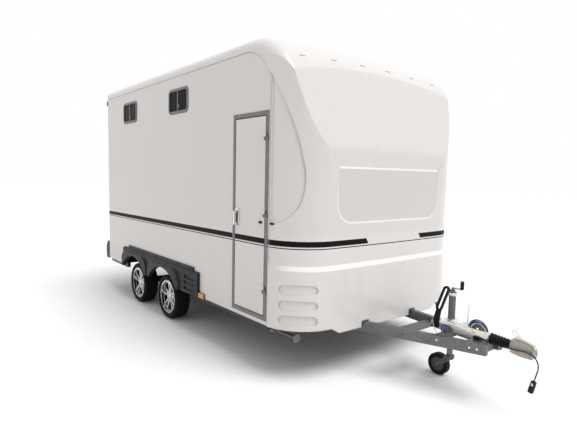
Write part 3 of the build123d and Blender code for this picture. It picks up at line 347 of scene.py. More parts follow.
class Finish:
    """One material while it is being made."""

    def __init__(self, name, colour, roughness, metallic=0.0, gloss=0.5):
        self.material = bpy.data.materials.new(name)
        self.material.use_nodes = True
        self.material.diffuse_color = (*colour, 1.0)
        self.tree = self.material.node_tree
        self.surface = next(n for n in self.tree.nodes if n.type == "BSDF_PRINCIPLED")
        self.set("Base Color", colour)
        self.set("Roughness", roughness)
        self.set("Metallic", metallic)
        self.set("Specular IOR Level", gloss)

    def feed(self, socket, value):
        """Link a value to a socket, or write a plain number or colour on it."""
        if isinstance(value, Value):
            self.tree.links.new(value.socket, socket)
        elif socket.type == "RGBA" and len(value) == 3:
            socket.default_value = (*value, 1.0)
        else:
            socket.default_value = value

    def set(self, name, value):
        self.feed(self.surface.inputs[name], value)

    def node(self, kind, settings=None, values=(), output=0):
        """Any node: its settings first, then its sockets by number or name."""
        node = self.tree.nodes.new(kind)
        for key, setting in (settings or {}).items():
            setattr(node, key, setting)
        pairs = values.items() if isinstance(values, dict) else enumerate(values)
        for key, value in pairs:
            self.feed(node.inputs[key], value)
        return Value(self, node.outputs[output])

    def place(self):
        """Where a point of the surface lies in the trailer's frame."""
        return self.node("ShaderNodeTexCoord", output="Object")

    def axes(self):
        """X, Y and Z of that place."""
        split = self.node("ShaderNodeSeparateXYZ", values=[self.place()])
        return [Value(self, split.socket.node.outputs[index]) for index in range(3)]

    def noise(self, scale, detail=3.0, stretch=(1.0, 1.0, 1.0)):
        """Smooth noise from 0 to 1, with its grains stretched along the axes."""
        mapped = self.node("ShaderNodeMapping", values={"Vector": self.place(), "Scale": stretch})
        values = {"Vector": mapped, "Scale": scale, "Detail": detail}
        return self.node("ShaderNodeTexNoise", values=values)

    def patches(self, scale, floor, gain, detail=6.0, stretch=(1.0, 1.0, 1.0)):
        """Noise with only its peaks left: what rises over a floor, times a gain, up to 1."""
        return ((self.noise(scale, detail, stretch) - floor) * gain).clamped()

    def cells(self, scale, feature="F1", output="Distance"):
        """Voronoi cells: the distance to a cell's point, or a colour for each cell."""
        values = {"Vector": self.place(), "Scale": scale}
        return self.node("ShaderNodeTexVoronoi", {"feature": feature}, values, output)

    def mix(self, factor, first, second):
        """A colour between two colours."""
        values = {0: factor, 6: first, 7: second}
        return self.node("ShaderNodeMix", {"data_type": "RGBA"}, values, output=2)

    def soften(self, radius):
        """Normals that run round the edges as if they were rounded to a radius."""
        return self.node("ShaderNodeBevel", {"samples": 4}, {"Radius": radius})

    def bump(self, height, distance, strength=1.0, over=None):
        """Raise or lower the surface by height times distance."""
        values = {"Height": height, "Distance": distance, "Strength": strength}
        if over is not None:
            values["Normal"] = over
        self.set("Normal", self.node("ShaderNodeBump", values=values))

    def cover(self, share, colour):
        """A flat film of one colour over a share of the surface."""
        film = self.node("ShaderNodeBsdfPrincipled",
                         values={"Base Color": colour, "Roughness": 0.5, "Specular IOR Level": 0.08})
        skin = Value(self, self.surface.outputs[0])
        both = self.node("ShaderNodeMixShader", values=[share, skin, film])
        end = next(n for n in self.tree.nodes if n.type == "OUTPUT_MATERIAL")
        self.tree.links.new(both.socket, end.inputs["Surface"])

    def band(self, value, low, high, soft=0.0008):
        """1 where the value lies between two limits, with a soft edge."""
        return ((value - low) / soft).clamped() * ((high - value) / soft).clamped()


# %% [markdown]
# ## White skin with its stripe
# Nose and roof are sprayed glass fibre with a deep gloss, the walls are coated sheet, a little
# flatter. Both carry a black coach line: a broad band that drops slightly to the rear, and a thin
# line under it. The band opens on the front, where a name would go on the real one; the thin line
# runs through. The line is painted by height, so it meets across the nose, the door and the wall.
# A moulding has no sharp edges, so the Bevel node turns the normals along every crease, and a painted
# highlight pales its crests: the outline of the sunken pad, the foot of the recess over it and the
# skirt's edge. Painted shade greys the front above the stripe, and the sunken pad more.

# %% White finishes
STRIPE_FALL = 0.0097            # drop of the stripe for each metre behind the wall's front edge
STRIPE_TOP, STRIPE_WIDTH = 1.190, 0.048
THIN_TOP, THIN_WIDTH = 1.131, 0.009
STRIPE_OPEN = (-0.350, 0.405)   # gap in the broad band on the front, in Y
STRIPE_SLANT = 0.6              # lean of the gap's two ends
PAD_HALF, PAD_LOW, PAD_CORNER = 0.700, 1.335, 0.170
SCREEN_LOW = 1.800
SKIRT_EDGE = (0.938, 0.990)
FILM_TOP = 0.75                 # road film starts under this height
PAINT_WHITE = (0.785, 0.758, 0.748)
AGED_WHITE = (0.715, 0.688, 0.672)
# painted shade: the sunken pad and the front above the stripe are greyer than the rest
PAD_SHADE_WHITE = (0.670, 0.655, 0.640)
FRONT_SHADE_WHITE = (0.735, 0.708, 0.700)
# painted highlight: the crests of the moulding are paler
HIGHLIGHT_WHITE = (0.980, 0.972, 0.966)
STRIPE_BLACK = (0.006, 0.006, 0.007)
ROAD_GREY = (0.40, 0.37, 0.34)


def stripe_share(made, x, y, z):
    """1 on the broad band and on the thin line under it."""
    level = z + (behind(SEAM_BEHIND) - x).larger(0.0) * STRIPE_FALL
    broad = made.band(level, STRIPE_TOP - STRIPE_WIDTH, STRIPE_TOP)
    slant = (level - STRIPE_TOP) * STRIPE_SLANT
    opening = made.band(y + slant, *STRIPE_OPEN) * made.band(x, NOSE_X - 0.3, NOSE_X + 0.1)
    thin = made.band(level, THIN_TOP - THIN_WIDTH, THIN_TOP)
    return (broad * (1.0 - opening)).larger(thin)


def front_shares(made, x, y, z):
    """Shares of painted light: 1 on the front above the stripe and 1 on the sunken pad for painted
    shade, and 1 on the crests of the moulding for a painted highlight.

    The pad's outline is a rectangle with round lower corners: its distance is the length of what
    lies past the corner's centre, less the corner's radius.
    """
    front = ((x - NOSE_X + 0.30) * 8.0).clamped()
    across = (abs(y) - PAD_HALF + PAD_CORNER).larger(0.0)
    below = (PAD_LOW + PAD_CORNER - z).larger(0.0)
    distance = (across * across + below * below).math("SQRT") - PAD_CORNER
    under_screen = ((SCREEN_LOW - z) * 200.0).clamped() * front
    pad = (distance * -200.0).clamped() * under_screen
    outline = made.band(distance, -0.004, 0.012, 0.005) * under_screen * ((1.72 - z) * 3.0).clamped()
    foot = made.band(z, SCREEN_LOW - 0.011, SCREEN_LOW + 0.008, 0.005)
    foot = foot * made.band(y, -PAD_HALF, PAD_HALF, 0.02)
    skirt = made.band(z, *SKIRT_EDGE, 0.010)
    # painted highlight along the pad's outline, the foot of the screen recess and the skirt's edge
    painted_highlight = outline.larger(foot * front).larger(skirt * front)
    return front * ((z - STRIPE_TOP) * 20.0).clamped(), pad, painted_highlight


def white_finish(name, roughness, coat, wave, edge):
    """White gloss with a stripe, faint orange peel, road film low down, painted shade on the front and its
    sunken pad, and a painted highlight on the crests.
    """
    made = Finish(name, PAINT_WHITE, roughness, gloss=0.25)
    x, y, z = made.axes()
    upper, pad, painted_highlight = front_shares(made, x, y, z)
    cloud = made.noise(1.3, 4.0)
    film = ((FILM_TOP - z) * 2.2).clamped() * made.noise(9.0, 6.0, (1.0, 1.0, 0.35)) * 0.22
    runs = made.patches(16.0, 0.60, 3.0, 5.0, (1.0, 1.0, 0.06)) * 0.08
    # painted shade: the front above the stripe is greyer, and the sunken pad greyer still
    clean = made.mix(upper, made.mix(cloud * 0.35, PAINT_WHITE, AGED_WHITE), FRONT_SHADE_WHITE)
    painted_shading = made.mix(painted_highlight, made.mix(pad, clean, PAD_SHADE_WHITE), HIGHLIGHT_WHITE)
    made.set("Base Color", made.mix((film + runs).clamped(), painted_shading, ROAD_GREY))
    made.set("Roughness", roughness + film * 0.6 + cloud * 0.06)
    made.set("Coat Weight", coat)
    made.set("Coat Roughness", 0.05)
    peel = made.noise(170.0, 2.0) * 0.00006 + made.noise(2.6, 2.0) * wave
    made.bump(peel, 1.0, 0.6, made.soften(edge))
    made.cover(stripe_share(made, x, y, z), STRIPE_BLACK)
    return made.material


white_moulding = white_finish("white_gelcoat", 0.24, 0.5, 0.0016, 0.016)
white_panel = white_finish("white_sheet", 0.34, 0.2, 0.0008, 0.002)

# %% [markdown]
# ## Metals
# Galvanised steel shows crystals of zinc, each catching the light differently: Voronoi cells give
# every crystal its own grey and its own roughness. The door frames are plain anodised extrusions
# with fine lines along them, and the wheels are bright cast alloy with painted reflections in dark
# patches, whose barrels are dark with dust and painted shade.

# %% Metal finishes
SILL_SHADE_BLACK = (0.012, 0.012, 0.013)
ZINC_DUST = (0.17, 0.16, 0.145)
HUB_REACH = 0.050               # wheel's middle to the outer face of its hub
RIM_LIP = 0.027                 # wheel's middle to where its bright lip and spokes begin
SILL_Y = wall_face - 0.08       # painted shade: the chassis is painted black outside this Y


def galvanised_finish(name, dark, pale, sill_y=None):
    """Zinc crystals about 8 mm across, dulled by road dust; painted shade blacks out the outer sills."""
    made = Finish(name, pale, 0.42, 0.75)
    crystal = made.node("ShaderNodeSeparateXYZ", values=[made.cells(130.0, output="Color")])
    dust = made.patches(7.0, 0.45, 2.4)
    colour = made.mix(dust * 0.45, made.mix(crystal * 0.7, dark, pale), ZINC_DUST)
    if sill_y is not None:
        # painted shade: where this is 1 the outer sills are black and not metallic
        painted_shading = ((abs(made.axes()[1]) - sill_y) * 500.0).clamped()
        colour = made.mix(painted_shading, colour, SILL_SHADE_BLACK)
        made.set("Metallic", (1.0 - painted_shading) * 0.75)
    made.set("Base Color", colour)
    made.set("Roughness", crystal * 0.16 + dust * 0.22 + 0.34)
    made.bump(made.noise(60.0, 4.0), 0.0004, 0.7, made.soften(0.002))
    return made.material


def anodised_finish():
    """Satin grey extrusion with fine drawn lines."""
    made = Finish("anodised_frame", (0.20, 0.195, 0.198), 0.36, 0.5)
    lines = made.noise(90.0, 3.0, (1.0, 1.0, 0.02))
    made.set("Base Color", made.mix(lines, (0.130, 0.124, 0.127), (0.230, 0.222, 0.227)))
    made.set("Roughness", lines * 0.2 + 0.28)
    made.bump(lines, 0.0001, 0.5, made.soften(0.002))
    return made.material


def plated_finish(name, colour, roughness, grain, share=0.55):
    """Bright zinc or nickel plate, worn darker in patches to a share of its colour."""
    made = Finish(name, colour, roughness, 0.9)
    wear = made.patches(24.0, 0.5, 3.0)
    darker = tuple(channel * share for channel in colour)
    made.set("Base Color", made.mix(wear * 0.6, colour, darker))
    made.set("Roughness", wear * 0.25 + roughness)
    made.bump(made.noise(240.0, 3.0), grain, 0.6, made.soften(0.002))
    return made.material


def wheel_finish(depth_y):
    """Polished spokes in front with dark patches as painted reflections, and a barrel behind them that is
    dark with brake dust and painted shade.
    """
    made = Finish("bright_alloy", (0.83, 0.84, 0.86), 0.08, 1.0)
    # brake dust and painted shade: the barrel inboard of the lip is near black
    barrel_dust_and_shade = ((depth_y - abs(made.axes()[1])) * 200.0).clamped()
    # painted reflection: dark patches on the polished alloy
    shade = made.patches(26.0, 0.40, 4.0)
    polished = made.mix(shade, (0.80, 0.81, 0.83), (0.24, 0.25, 0.27))
    made.set("Base Color", made.mix(barrel_dust_and_shade, polished, (0.010, 0.010, 0.011)))
    made.set("Metallic", 1.0 - barrel_dust_and_shade * 0.9)
    made.set("Roughness", barrel_dust_and_shade * 0.55 + shade * 0.10 + 0.05)
    made.bump(made.noise(14.0, 2.0), 0.002, 0.25, made.soften(0.003))
    return made.material


def rusty_finish():
    """Steel that lost its zinc: orange scale over brown, with grey metal left in places."""
    made = Finish("rusty_steel", (0.20, 0.10, 0.05), 0.75, 0.1)
    patch = made.patches(38.0, 0.42, 4.0, 8.0)
    scale = made.noise(220.0, 4.0)
    rust = made.mix(scale, (0.055, 0.026, 0.015), (0.20, 0.085, 0.035))
    made.set("Base Color", made.mix(patch, (0.14, 0.135, 0.13), rust))
    made.set("Roughness", patch * 0.35 + 0.5)
    made.set("Metallic", (1.0 - patch) * 0.7)
    made.bump(scale, 0.0006, 0.8)
    return made.material


galvanised = galvanised_finish("galvanised_steel", (0.11, 0.117, 0.12), (0.24, 0.25, 0.255))
underbody = galvanised_finish("underbody_steel", (0.13, 0.137, 0.14), (0.25, 0.26, 0.265), SILL_Y)
# painted shade: the axles are darkened, as they lie in shade behind the wheels
shaded_axle_steel = galvanised_finish("shaded_axle_steel", (0.03, 0.031, 0.032), (0.08, 0.082, 0.085))
anodised = anodised_finish()
tyre_low, tyre_high = corners("tyre_front_left")
alloy = wheel_finish(float(tyre_low[1] + tyre_high[1]) / 2 + RIM_LIP)
bright_nut = plated_finish("bright_nut", (0.70, 0.71, 0.73), 0.15, 0.00001)
cast_plate = plated_finish("plated_casting", (0.80, 0.78, 0.72), 0.32, 0.0003, 0.62)
nickel = plated_finish("worn_nickel", (0.34, 0.31, 0.28), 0.30, 0.0003, 0.4)
handle_chrome = plated_finish("handle_chrome", (0.70, 0.70, 0.70), 0.10, 0.00001)
rusty = rusty_finish()

# %% [markdown]
# ## Plastics, rubber, glass and wood
# The fenders are moulded with a fine leather-like grain, so that scratches don't show. The grain
# is bump alone, as it is a tenth of a millimetre deep. Rubber has a dull bloom in patches.

# %% Other finishes
LENS_RED, GLOW_RED = (0.28, 0.008, 0.006), (0.60, 0.03, 0.02)
FIELD_AMBER, FIELD_CLEAR = (0.62, 0.20, 0.01), (0.62, 0.62, 0.60)


def grained_plastic(name, colour, roughness):
    """Black plastic with a fine grain and a little dust on it, tinted blue as a painted sheen."""
    made = Finish(name, colour, roughness, gloss=0.22)
    dust = made.patches(6.0, 0.40, 1.8)
    # dust and painted sheen: the paler patches are tinted blue like a reflection of the sky
    made.set("Base Color", made.mix(dust * 0.30, colour, (0.036, 0.038, 0.046)))
    made.set("Roughness", dust * 0.2 + roughness)
    made.bump(made.cells(420.0, "SMOOTH_F1"), 0.0004, 0.5, made.soften(0.006))
    return made.material


def rubber_finish(name, colour, roughness):
    """Soft black rubber with a dull bloom."""
    made = Finish(name, colour, roughness, gloss=0.12)
    bloom = made.patches(14.0, 0.42, 2.0)
    made.set("Base Color", made.mix(bloom * 0.5, colour, (0.026, 0.025, 0.024)))
    made.set("Roughness", bloom * 0.18 + roughness)
    made.bump(made.noise(180.0, 4.0), 0.0003, 0.6)
    return made.material


def glass_finish():
    """Smoked acrylic pane, dark enough that little of the inside shows."""
    made = Finish("smoked_pane", (0.010, 0.011, 0.010), 0.10, gloss=0.03)
    made.set("Base Color", made.mix(made.noise(3.0), (0.004, 0.0048, 0.0042), (0.014, 0.016, 0.014)))
    made.bump(made.noise(7.0), 0.0006, 0.3)
    return made.material


def lens_finish(name, colour, glow, fields=None):
    """Moulded lamp lens: fine ribs under a smooth skin, clear below and amber above two heights."""
    made = Finish(name, colour, 0.12)
    ribs = made.node("ShaderNodeTexWave", {"bands_direction": "Y"},
                     {"Vector": made.place(), "Scale": 60.0}, output="Fac")
    body = made.mix(ribs * 0.5, colour, glow)
    if fields is not None:
        z = made.axes()[2]
        body = made.mix(((z - fields[1]) * 400.0).clamped(), body, FIELD_AMBER)
        body = made.mix(((fields[0] - z) * 400.0).clamped(), body, FIELD_CLEAR)
    made.set("Base Color", body)
    made.set("Coat Weight", 0.8)
    made.bump(ribs, 0.0006, 0.6)
    return made.material


def deck_finish():
    """Phenolic ply with a pressed mesh pattern under rubber dust."""
    made = Finish("deck_board", (0.06, 0.042, 0.03), 0.6)
    made.set("Base Color", made.mix(made.noise(5.0, 6.0), (0.045, 0.032, 0.024), (0.10, 0.085, 0.07)))
    made.bump((made.cells(180.0, "DISTANCE_TO_EDGE") * 6.0).clamped(), 0.0005, 0.7)
    return made.material


def plain_finish(name, colour, roughness):
    """A small moulded or painted piece: its colour with a faint mottle and a fine grain."""
    made = Finish(name, colour, roughness)
    paler = tuple(min(channel * 1.35, 1.0) for channel in colour)
    made.set("Base Color", made.mix(made.noise(30.0, 5.0), colour, paler))
    made.set("Roughness", made.noise(45.0) * 0.15 + roughness)
    made.bump(made.noise(200.0), 0.0001, 0.5)
    return made.material


black_moulding = grained_plastic("black_moulding", (0.008, 0.009, 0.012), 0.42)
rubber = rubber_finish("black_rubber", (0.009, 0.009, 0.010), 0.55)
tyre_rubber = rubber_finish("tyre_rubber", (0.009, 0.009, 0.010), 0.62)
smoked_pane = glass_finish()
lamp_low, lamp_high = corners("tail_lamps")
lamp_fields = (lamp_low[2] + 0.055, lamp_high[2] - 0.075)
tail_lens = lens_finish("tail_lens", LENS_RED, GLOW_RED, lamp_fields)
red_lens = lens_finish("red_lens", LENS_RED, GLOW_RED)
amber_lens = lens_finish("amber_lens", (0.55, 0.17, 0.02), (0.85, 0.38, 0.06))
deck_board = deck_finish()
sealant = plain_finish("seam_sealant", (0.30, 0.285, 0.275), 0.6)
stud_paint = plain_finish("painted_stud", (0.50, 0.48, 0.47), 0.35)
dash_paint = plain_finish("grey_clip", (0.42, 0.41, 0.40), 0.5)
white_plastic = plain_finish("white_plastic", (0.72, 0.72, 0.70), 0.35)
blue_sheath = plain_finish("blue_sheath", (0.012, 0.045, 0.16), 0.35)
navy_sheath = plain_finish("navy_sheath", (0.012, 0.016, 0.075), 0.4)
grey_sheath = plain_finish("grey_sheath", (0.36, 0.37, 0.36), 0.4)
hub_grey = plain_finish("hub_grey", (0.045, 0.052, 0.060), 0.5)

# %% [markdown]
# ## Which finish goes where
# Each solid has a material slot from the record, and each slot has one finish. A few solids differ:
# the chassis's outer sills are black and the axles dark, both painted shade, the wheel boxes take
# black plastic as painted shade in the arches, and the coupling head is worn nickel. New pieces name
# their slot the other way round, by the finish they wear.

# %% Finishes on the solids
FINISH_OF_SLOT = {
    "white_panel": white_panel, "white_moulding": white_moulding, "anodised": anodised,
    "dark_glass": smoked_pane, "black_moulding": black_moulding, "deck_board": deck_board,
    "galvanised": galvanised, "cast_grey": cast_plate, "tyre_rubber": tyre_rubber, "alloy": alloy,
    "chrome": handle_chrome, "rubber": rubber, "lamp_red": red_lens, "lamp_amber": amber_lens,
    "rusty_steel": rusty,
}
FINISH_OF_NODE = {
    # painted shade: black outer sills on the chassis and dark axles
    "chassis": underbody, "axle_front": shaded_axle_steel, "axle_rear": shaded_axle_steel, "tail_lamps": tail_lens,
    # painted shade: the wheel boxes take black plastic to darken the inside of the arches
    "coupling_head": nickel, "wheel_boxes": black_moulding,
}
slot_of_node = {part["node"]: part["material_slot"] for part in frame["record"]["subparts"]}
for node_name, solid in nodes.items():
    solid.data.materials.clear()
    solid.data.materials.append(FINISH_OF_NODE.get(node_name, FINISH_OF_SLOT[slot_of_node[node_name]]))
print("finishes given:", len(slot_of_node))

# %% [markdown]
# ## The nose, the same on both sides
# On the real trailer both front corners are round. The moulding's left corner came out square, so
# the shown nose is its right half and the mirror image of that half. The Mirror modifier cuts the
# mesh along the middle plane first, and merges the points that meet there.

# %% Mirrored nose
mirror = nodes["nose_moulding"].modifiers.new("both_sides", "MIRROR")
mirror.use_axis = (False, True, False)
mirror.use_bisect_axis = (False, True, False)
mirror.use_bisect_flip_axis = (False, True, False)
mirror.merge_threshold = 0.0001

# %% [markdown]
# ## The cable at the drawbar
# The lamp lead leaves a gland on the drawbar housing, runs loose beside the gaiter, dips past the
# coupling head and hangs down to its plug. A real lead has no corners, so its route is a NURBS
# line of order 3 over a few given points, and the round sheath is carried along it.

# %% Lamp lead
CABLE_DIAMETER = 0.009
cable_route = [
    # ahead of the nose, y, z
    (0.925, -0.062, 0.492), (0.985, -0.062, 0.492), (1.055, -0.068, 0.488), (1.135, -0.066, 0.484),
    (1.215, -0.060, 0.490), (1.290, -0.054, 0.494), (1.352, -0.052, 0.474), (1.378, -0.050, 0.412),
    (1.362, -0.050, 0.345), (1.350, -0.050, 0.295),
]
# Profiles are rows of (along, radius).
BOOT_PROFILE = [(0.0, 0.0), (0.0, 0.0085), (0.006, 0.0085), (0.012, 0.0070), (0.016, 0.0078),
                (0.022, 0.0062), (0.026, 0.0070), (0.034, 0.0052), (0.034, 0.0)]
RING_PROFILE = [(0.0, 0.0), (0.0, 0.0200), (0.002, 0.0214), (0.006, 0.0214), (0.008, 0.0200),
                (0.008, 0.0)]
RINGS_ALONG = (0.030, 0.044, 0.058)
CLIP_ALONG, CLIP_HALF = 0.018, (0.007, 0.0215, 0.010)
cable_points = [(NOSE_X + forward, across, up) for forward, across, up in cable_route]
cable_path = smooth_line(cable_points, 16)
plug_lead = add_piece("lamp_lead", [tube(cable_path, CABLE_DIAMETER / 2, (0, 1, 0), 12)], rubber)
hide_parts("plug_cable")

plug_top = np.array(cable_points[-1])
plug_down = plug_top - cable_points[-2]
plug_down /= np.linalg.norm(plug_down)
ring_places = plug_top + np.outer(RINGS_ALONG, plug_down)
gland_boot = add_piece("gland_boot", [turned(BOOT_PROFILE, cable_points[0], (1, 0, 0), 16)], rubber)
plug_rings = add_piece("plug_rings", [turned(RING_PROFILE, ring_places, plug_down, 24)], black_moulding)
clip = pillows(plug_top + plug_down * CLIP_ALONG, CLIP_HALF, 0.002)
plug_clip = add_piece("plug_clip", [clip], white_plastic)
print("lead, m:", round(float(np.linalg.norm(np.diff(cable_path, axis=0), axis=1).sum()), 3))

# %% [markdown]
# ## Tyres
# Low trailer tyres with blocks in the tread. One arc makes each sidewall and one the crown, the
# same three as on the solid. Four grooves run round, and slanted cuts part the outer blocks. Both
# only push the surface inwards, so the tyre keeps its outline.

# %% Tyre shape
BLOCKS_ROUND = 60
STEPS_PER_BLOCK = 6
SIDE_STEPS, CROWN_STEPS = 14, 75
TREAD_HALF, BEAD_HALF = 0.074, 0.075
SHOULDER_DROP = 0.005
BEAD_OVER_LIP, BARREL_UNDER_LIP = 0.001, 0.013
GROOVES_Y = np.array([-0.047, -0.016, 0.016, 0.047])
GROOVE_HALF, GROOVE_DEPTH = 0.0045, 0.0065
CUT_SHARE, CUT_DEPTH, CUT_SLANT = 0.22, 0.0045, 14.0


def arc_through(start, middle, end, count):
    """Points on the circle through three points; its centre lies where the two mid-lines cross."""
    start, middle, end = (np.array(point, float) for point in (start, middle, end))
    lines = 2 * np.array([middle - start, end - start])
    centre = np.linalg.solve(lines, [middle @ middle - start @ start, end @ end - start @ start])
    spokes = np.array([start, middle, end]) - centre
    angles = np.unwrap(np.arctan2(spokes[:, 1], spokes[:, 0]))
    turn = np.linspace(angles[0], angles[2], count)
    return centre + np.linalg.norm(spokes[0]) * np.stack([np.cos(turn), np.sin(turn)], -1)


def tyre_profile(half_width, outer, lip):
    """Across and radius: barrel, bead, sidewall arc, crown arc and back."""
    bead, shoulder = lip + BEAD_OVER_LIP, outer - SHOULDER_DROP
    bulge = (-half_width, (bead + outer) / 2)
    side = arc_through((-BEAD_HALF, bead), bulge, (-TREAD_HALF, shoulder), SIDE_STEPS)
    crown = arc_through((-TREAD_HALF, shoulder), (0, outer), (TREAD_HALF, shoulder), CROWN_STEPS)
    half = np.concatenate([[(-BEAD_HALF, lip - BARREL_UNDER_LIP)], side])
    return np.concatenate([half, crown[1:-1], half[::-1] * (-1, 1)])


def tread_depth(angle, across):
    """How far the tread is cut in: grooves by distance across, slanted cuts by angle."""
    near = np.abs(across[..., None] - GROOVES_Y) / GROOVE_HALF
    groove = np.clip(1 - near ** 4, 0, 1).max(-1) * GROOVE_DEPTH
    half_block = np.where(across > 0, 0.5, 0.0)
    slant = angle * BLOCKS_ROUND / (2 * np.pi) + np.abs(across) * CUT_SLANT + half_block
    cut = np.where(slant % 1.0 < CUT_SHARE, CUT_DEPTH, 0.0)
    return np.maximum(groove, np.where(np.abs(across) > GROOVES_Y[2], cut, 0.0))


for name in [node for node in nodes if node.startswith("tyre_")]:
    low, high = corners(name)
    centre = (low + high) / 2
    outer, half_width = (high[2] - low[2]) / 2, (high[1] - low[1]) / 2
    rim_low, rim_high = corners(name.replace("tyre", "rim"))
    across, radius = tyre_profile(half_width, outer, (rim_high[2] - rim_low[2]) / 2).T
    angle = np.linspace(0, 2 * np.pi, BLOCKS_ROUND * STEPS_PER_BLOCK, endpoint=False)[:, None]
    on_crown = (np.abs(across) < TREAD_HALF) & (radius > outer - 2 * SHOULDER_DROP)
    cut_radius = radius - np.where(on_crown, tread_depth(angle, across), 0.0)
    points = centre + places(cut_radius * np.cos(angle), across, cut_radius * np.sin(angle))
    faces = grid_faces(angle.size, across.size, close_rows=True, close_columns=True)
    tyre = add_piece(name.replace("tyre", "treaded_tyre"), [(points.reshape(-1, 3), faces)], tyre_rubber,
                     name.replace("tyre", "wheel"), smooth=False)
    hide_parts(name)
print("tyre faces:", len(faces))

# %% [markdown]
# ## Wheel centres
# Five domed nuts hold each wheel, and a plain cap closes the bearing. All are profiles turned
# about the axle's direction, joined to one mesh a wheel, so they spin with it.

# %% Nuts and caps
NUT_RING, NUTS = 0.046, 5
VALVE_FROM_HUB = (0.150, 0, 0.045)
NUT_PROFILE = [(0.0, 0.0), (0.0, 0.0090), (0.009, 0.0088), (0.013, 0.0060), (0.015, 0.0)]
CAP_PROFILE = [(0.0, 0.0), (0.0, 0.0330), (0.004, 0.0330), (0.009, 0.0290), (0.012, 0.0160),
               (0.0125, 0.0)]
VALVE_PROFILE = [(-0.03, 0.0), (-0.03, 0.004), (0.004, 0.004), (0.006, 0.0)]
for axle in ("front", "rear"):
    for side, sign in SIDES.items():
        low, high = corners(f"tyre_{axle}_{side}")
        hub = (low + high) / 2 + (0, sign * HUB_REACH, 0)
        turn = np.linspace(0, 2 * np.pi, NUTS, endpoint=False) + np.pi / 2
        ring = hub + NUT_RING * places(np.cos(turn), 0, np.sin(turn))
        nuts = [turned(NUT_PROFILE, ring, (0, sign, 0), 6), turned(CAP_PROFILE, hub, (0, sign, 0), 28)]
        wheel = f"wheel_{axle}_{side}"
        add_piece(f"wheel_nuts_{axle}_{side}", nuts, bright_nut, wheel, smooth=False)
        valve = turned(VALVE_PROFILE, hub + VALVE_FROM_HUB, (0, sign, 0), 8)
        add_piece(f"valve_{axle}_{side}", [valve], rubber, wheel)

# %% [markdown]
# ## Fasteners in the skin
# Painted screw heads hold the sheet to its posts: one row under the windows, one along the rear
# edge, one behind the groom's door, and one that follows the seam of the nose. They are shallow
# domes thirteen millimetres across, all in one mesh on each side.

# %% Screw heads
STUD_RADIUS, STUD_HEIGHT = 0.0065, 0.0022
ROW_HEIGHT, ROW_STEP, ROW_END = 2.274, 0.312, 4.30
ROW_START = {"right": 1.08, "left": 1.70}
RIM_BEHIND, RIM_OUTSIDE = 0.364, 0.011
DOOR_POST_BEHIND, REAR_POST = 1.0, 0.050
STUD_PROFILE = [(-0.001, 0.0), (-0.001, STUD_RADIUS), (STUD_HEIGHT * 0.4, STUD_RADIUS * 0.92),
                (STUD_HEIGHT * 0.85, STUD_RADIUS * 0.55), (STUD_HEIGHT, 0.0)]
row = np.arange(-1.05, 1.06, 0.30)
climb = np.arange(0.55, 2.35, 0.160)
posts = np.arange(0.60, 2.70, 0.30)
rim_arc = seam_arc(np.arange(12, 85, 14), RIM_OUTSIDE)
for side, sign in SIDES.items():
    run = np.arange(ROW_START[side], ROW_END, ROW_STEP)
    rows = [places(behind(run), sign * wall_face, ROW_HEIGHT),
            places(behind(RIM_BEHIND), sign * side_face, climb),
            places(rim_arc[:, 0], sign * side_face, rim_arc[:, 1]),
            places(rear_x + REAR_POST, sign * wall_face, posts)]
    if side == "right":
        rows.append(places(behind(DOOR_POST_BEHIND), -wall_face, climb))
    studs = turned(STUD_PROFILE, np.concatenate(rows), (0, sign, 0), 10)
    add_piece(f"wall_studs_{side}", [studs], stud_paint)
rear_rows = np.concatenate([places(rear_x, row, height) for height in (0.74, 1.72, 2.70)])
add_piece("rear_studs", [turned(STUD_PROFILE, rear_rows, (-1, 0, 0), 10)], stud_paint)

# %% [markdown]
# ## Seams and seals
# Where the moulding laps the wall there is a bead of grey sealant, and every leaf sits on black
# rubber. Both are thin tubes: the first along the wall's edge with its round corner, the second
# along rectangles with rounded corners.

# %% Beads and seals
BEAD, SEAL = 0.0032, 0.0028     # radius of a bead, and of a seal round a leaf
GAP_MIDDLE = 0.0045             # a leaf's edge to the middle of its seal
SEAL_CORNER = 0.010
DOOR_FRONT = behind(0.441)
leaf_y = side_face - 0.004
seam_rise = np.linspace(wall_low[2], wall_high[2] - SEAM_RADIUS, 12)
for side, sign in SIDES.items():
    bend = seam_arc(np.linspace(0, 90, 24))
    y = sign * (wall_face + 0.0005)
    path = np.concatenate([places(behind(SEAM_BEHIND), y, seam_rise), places(bend[:, 0], y, bend[:, 1]),
                           [(rear_x + 0.030, y, wall_high[2])]])
    add_piece(f"seam_bead_{side}", [tube(path, BEAD, (0, 1, 0), 6)], sealant)

door_low, door_high = corners("groom_door")
ramp_low, ramp_high = corners("side_ramp")
leaves = {"front": corners("top_door_front"), "rear": corners("top_door_rear")}
door_corners = ((door_low[0] - GAP_MIDDLE, door_low[2] - GAP_MIDDLE),
                (DOOR_FRONT + GAP_MIDDLE, door_high[2] + GAP_MIDDLE))
ramp_corners = ((ramp_low[0] - GAP_MIDDLE, ramp_low[2] + 0.012),
                (ramp_high[0] + GAP_MIDDLE, leaves["front"][1][2] + GAP_MIDDLE))
for name, loop_corners, y in (("door_seal", door_corners, -leaf_y), ("ramp_seal", ramp_corners, leaf_y)):
    add_piece(name, [side_ring(*loop_corners, SEAL_CORNER, y, SEAL)], rubber)

# %% [markdown]
# ## Windows
# A ring of rubber holds the pane and a second one seals the frame. Each pane slides, so it has an
# upright bar beside its middle and a small catch.

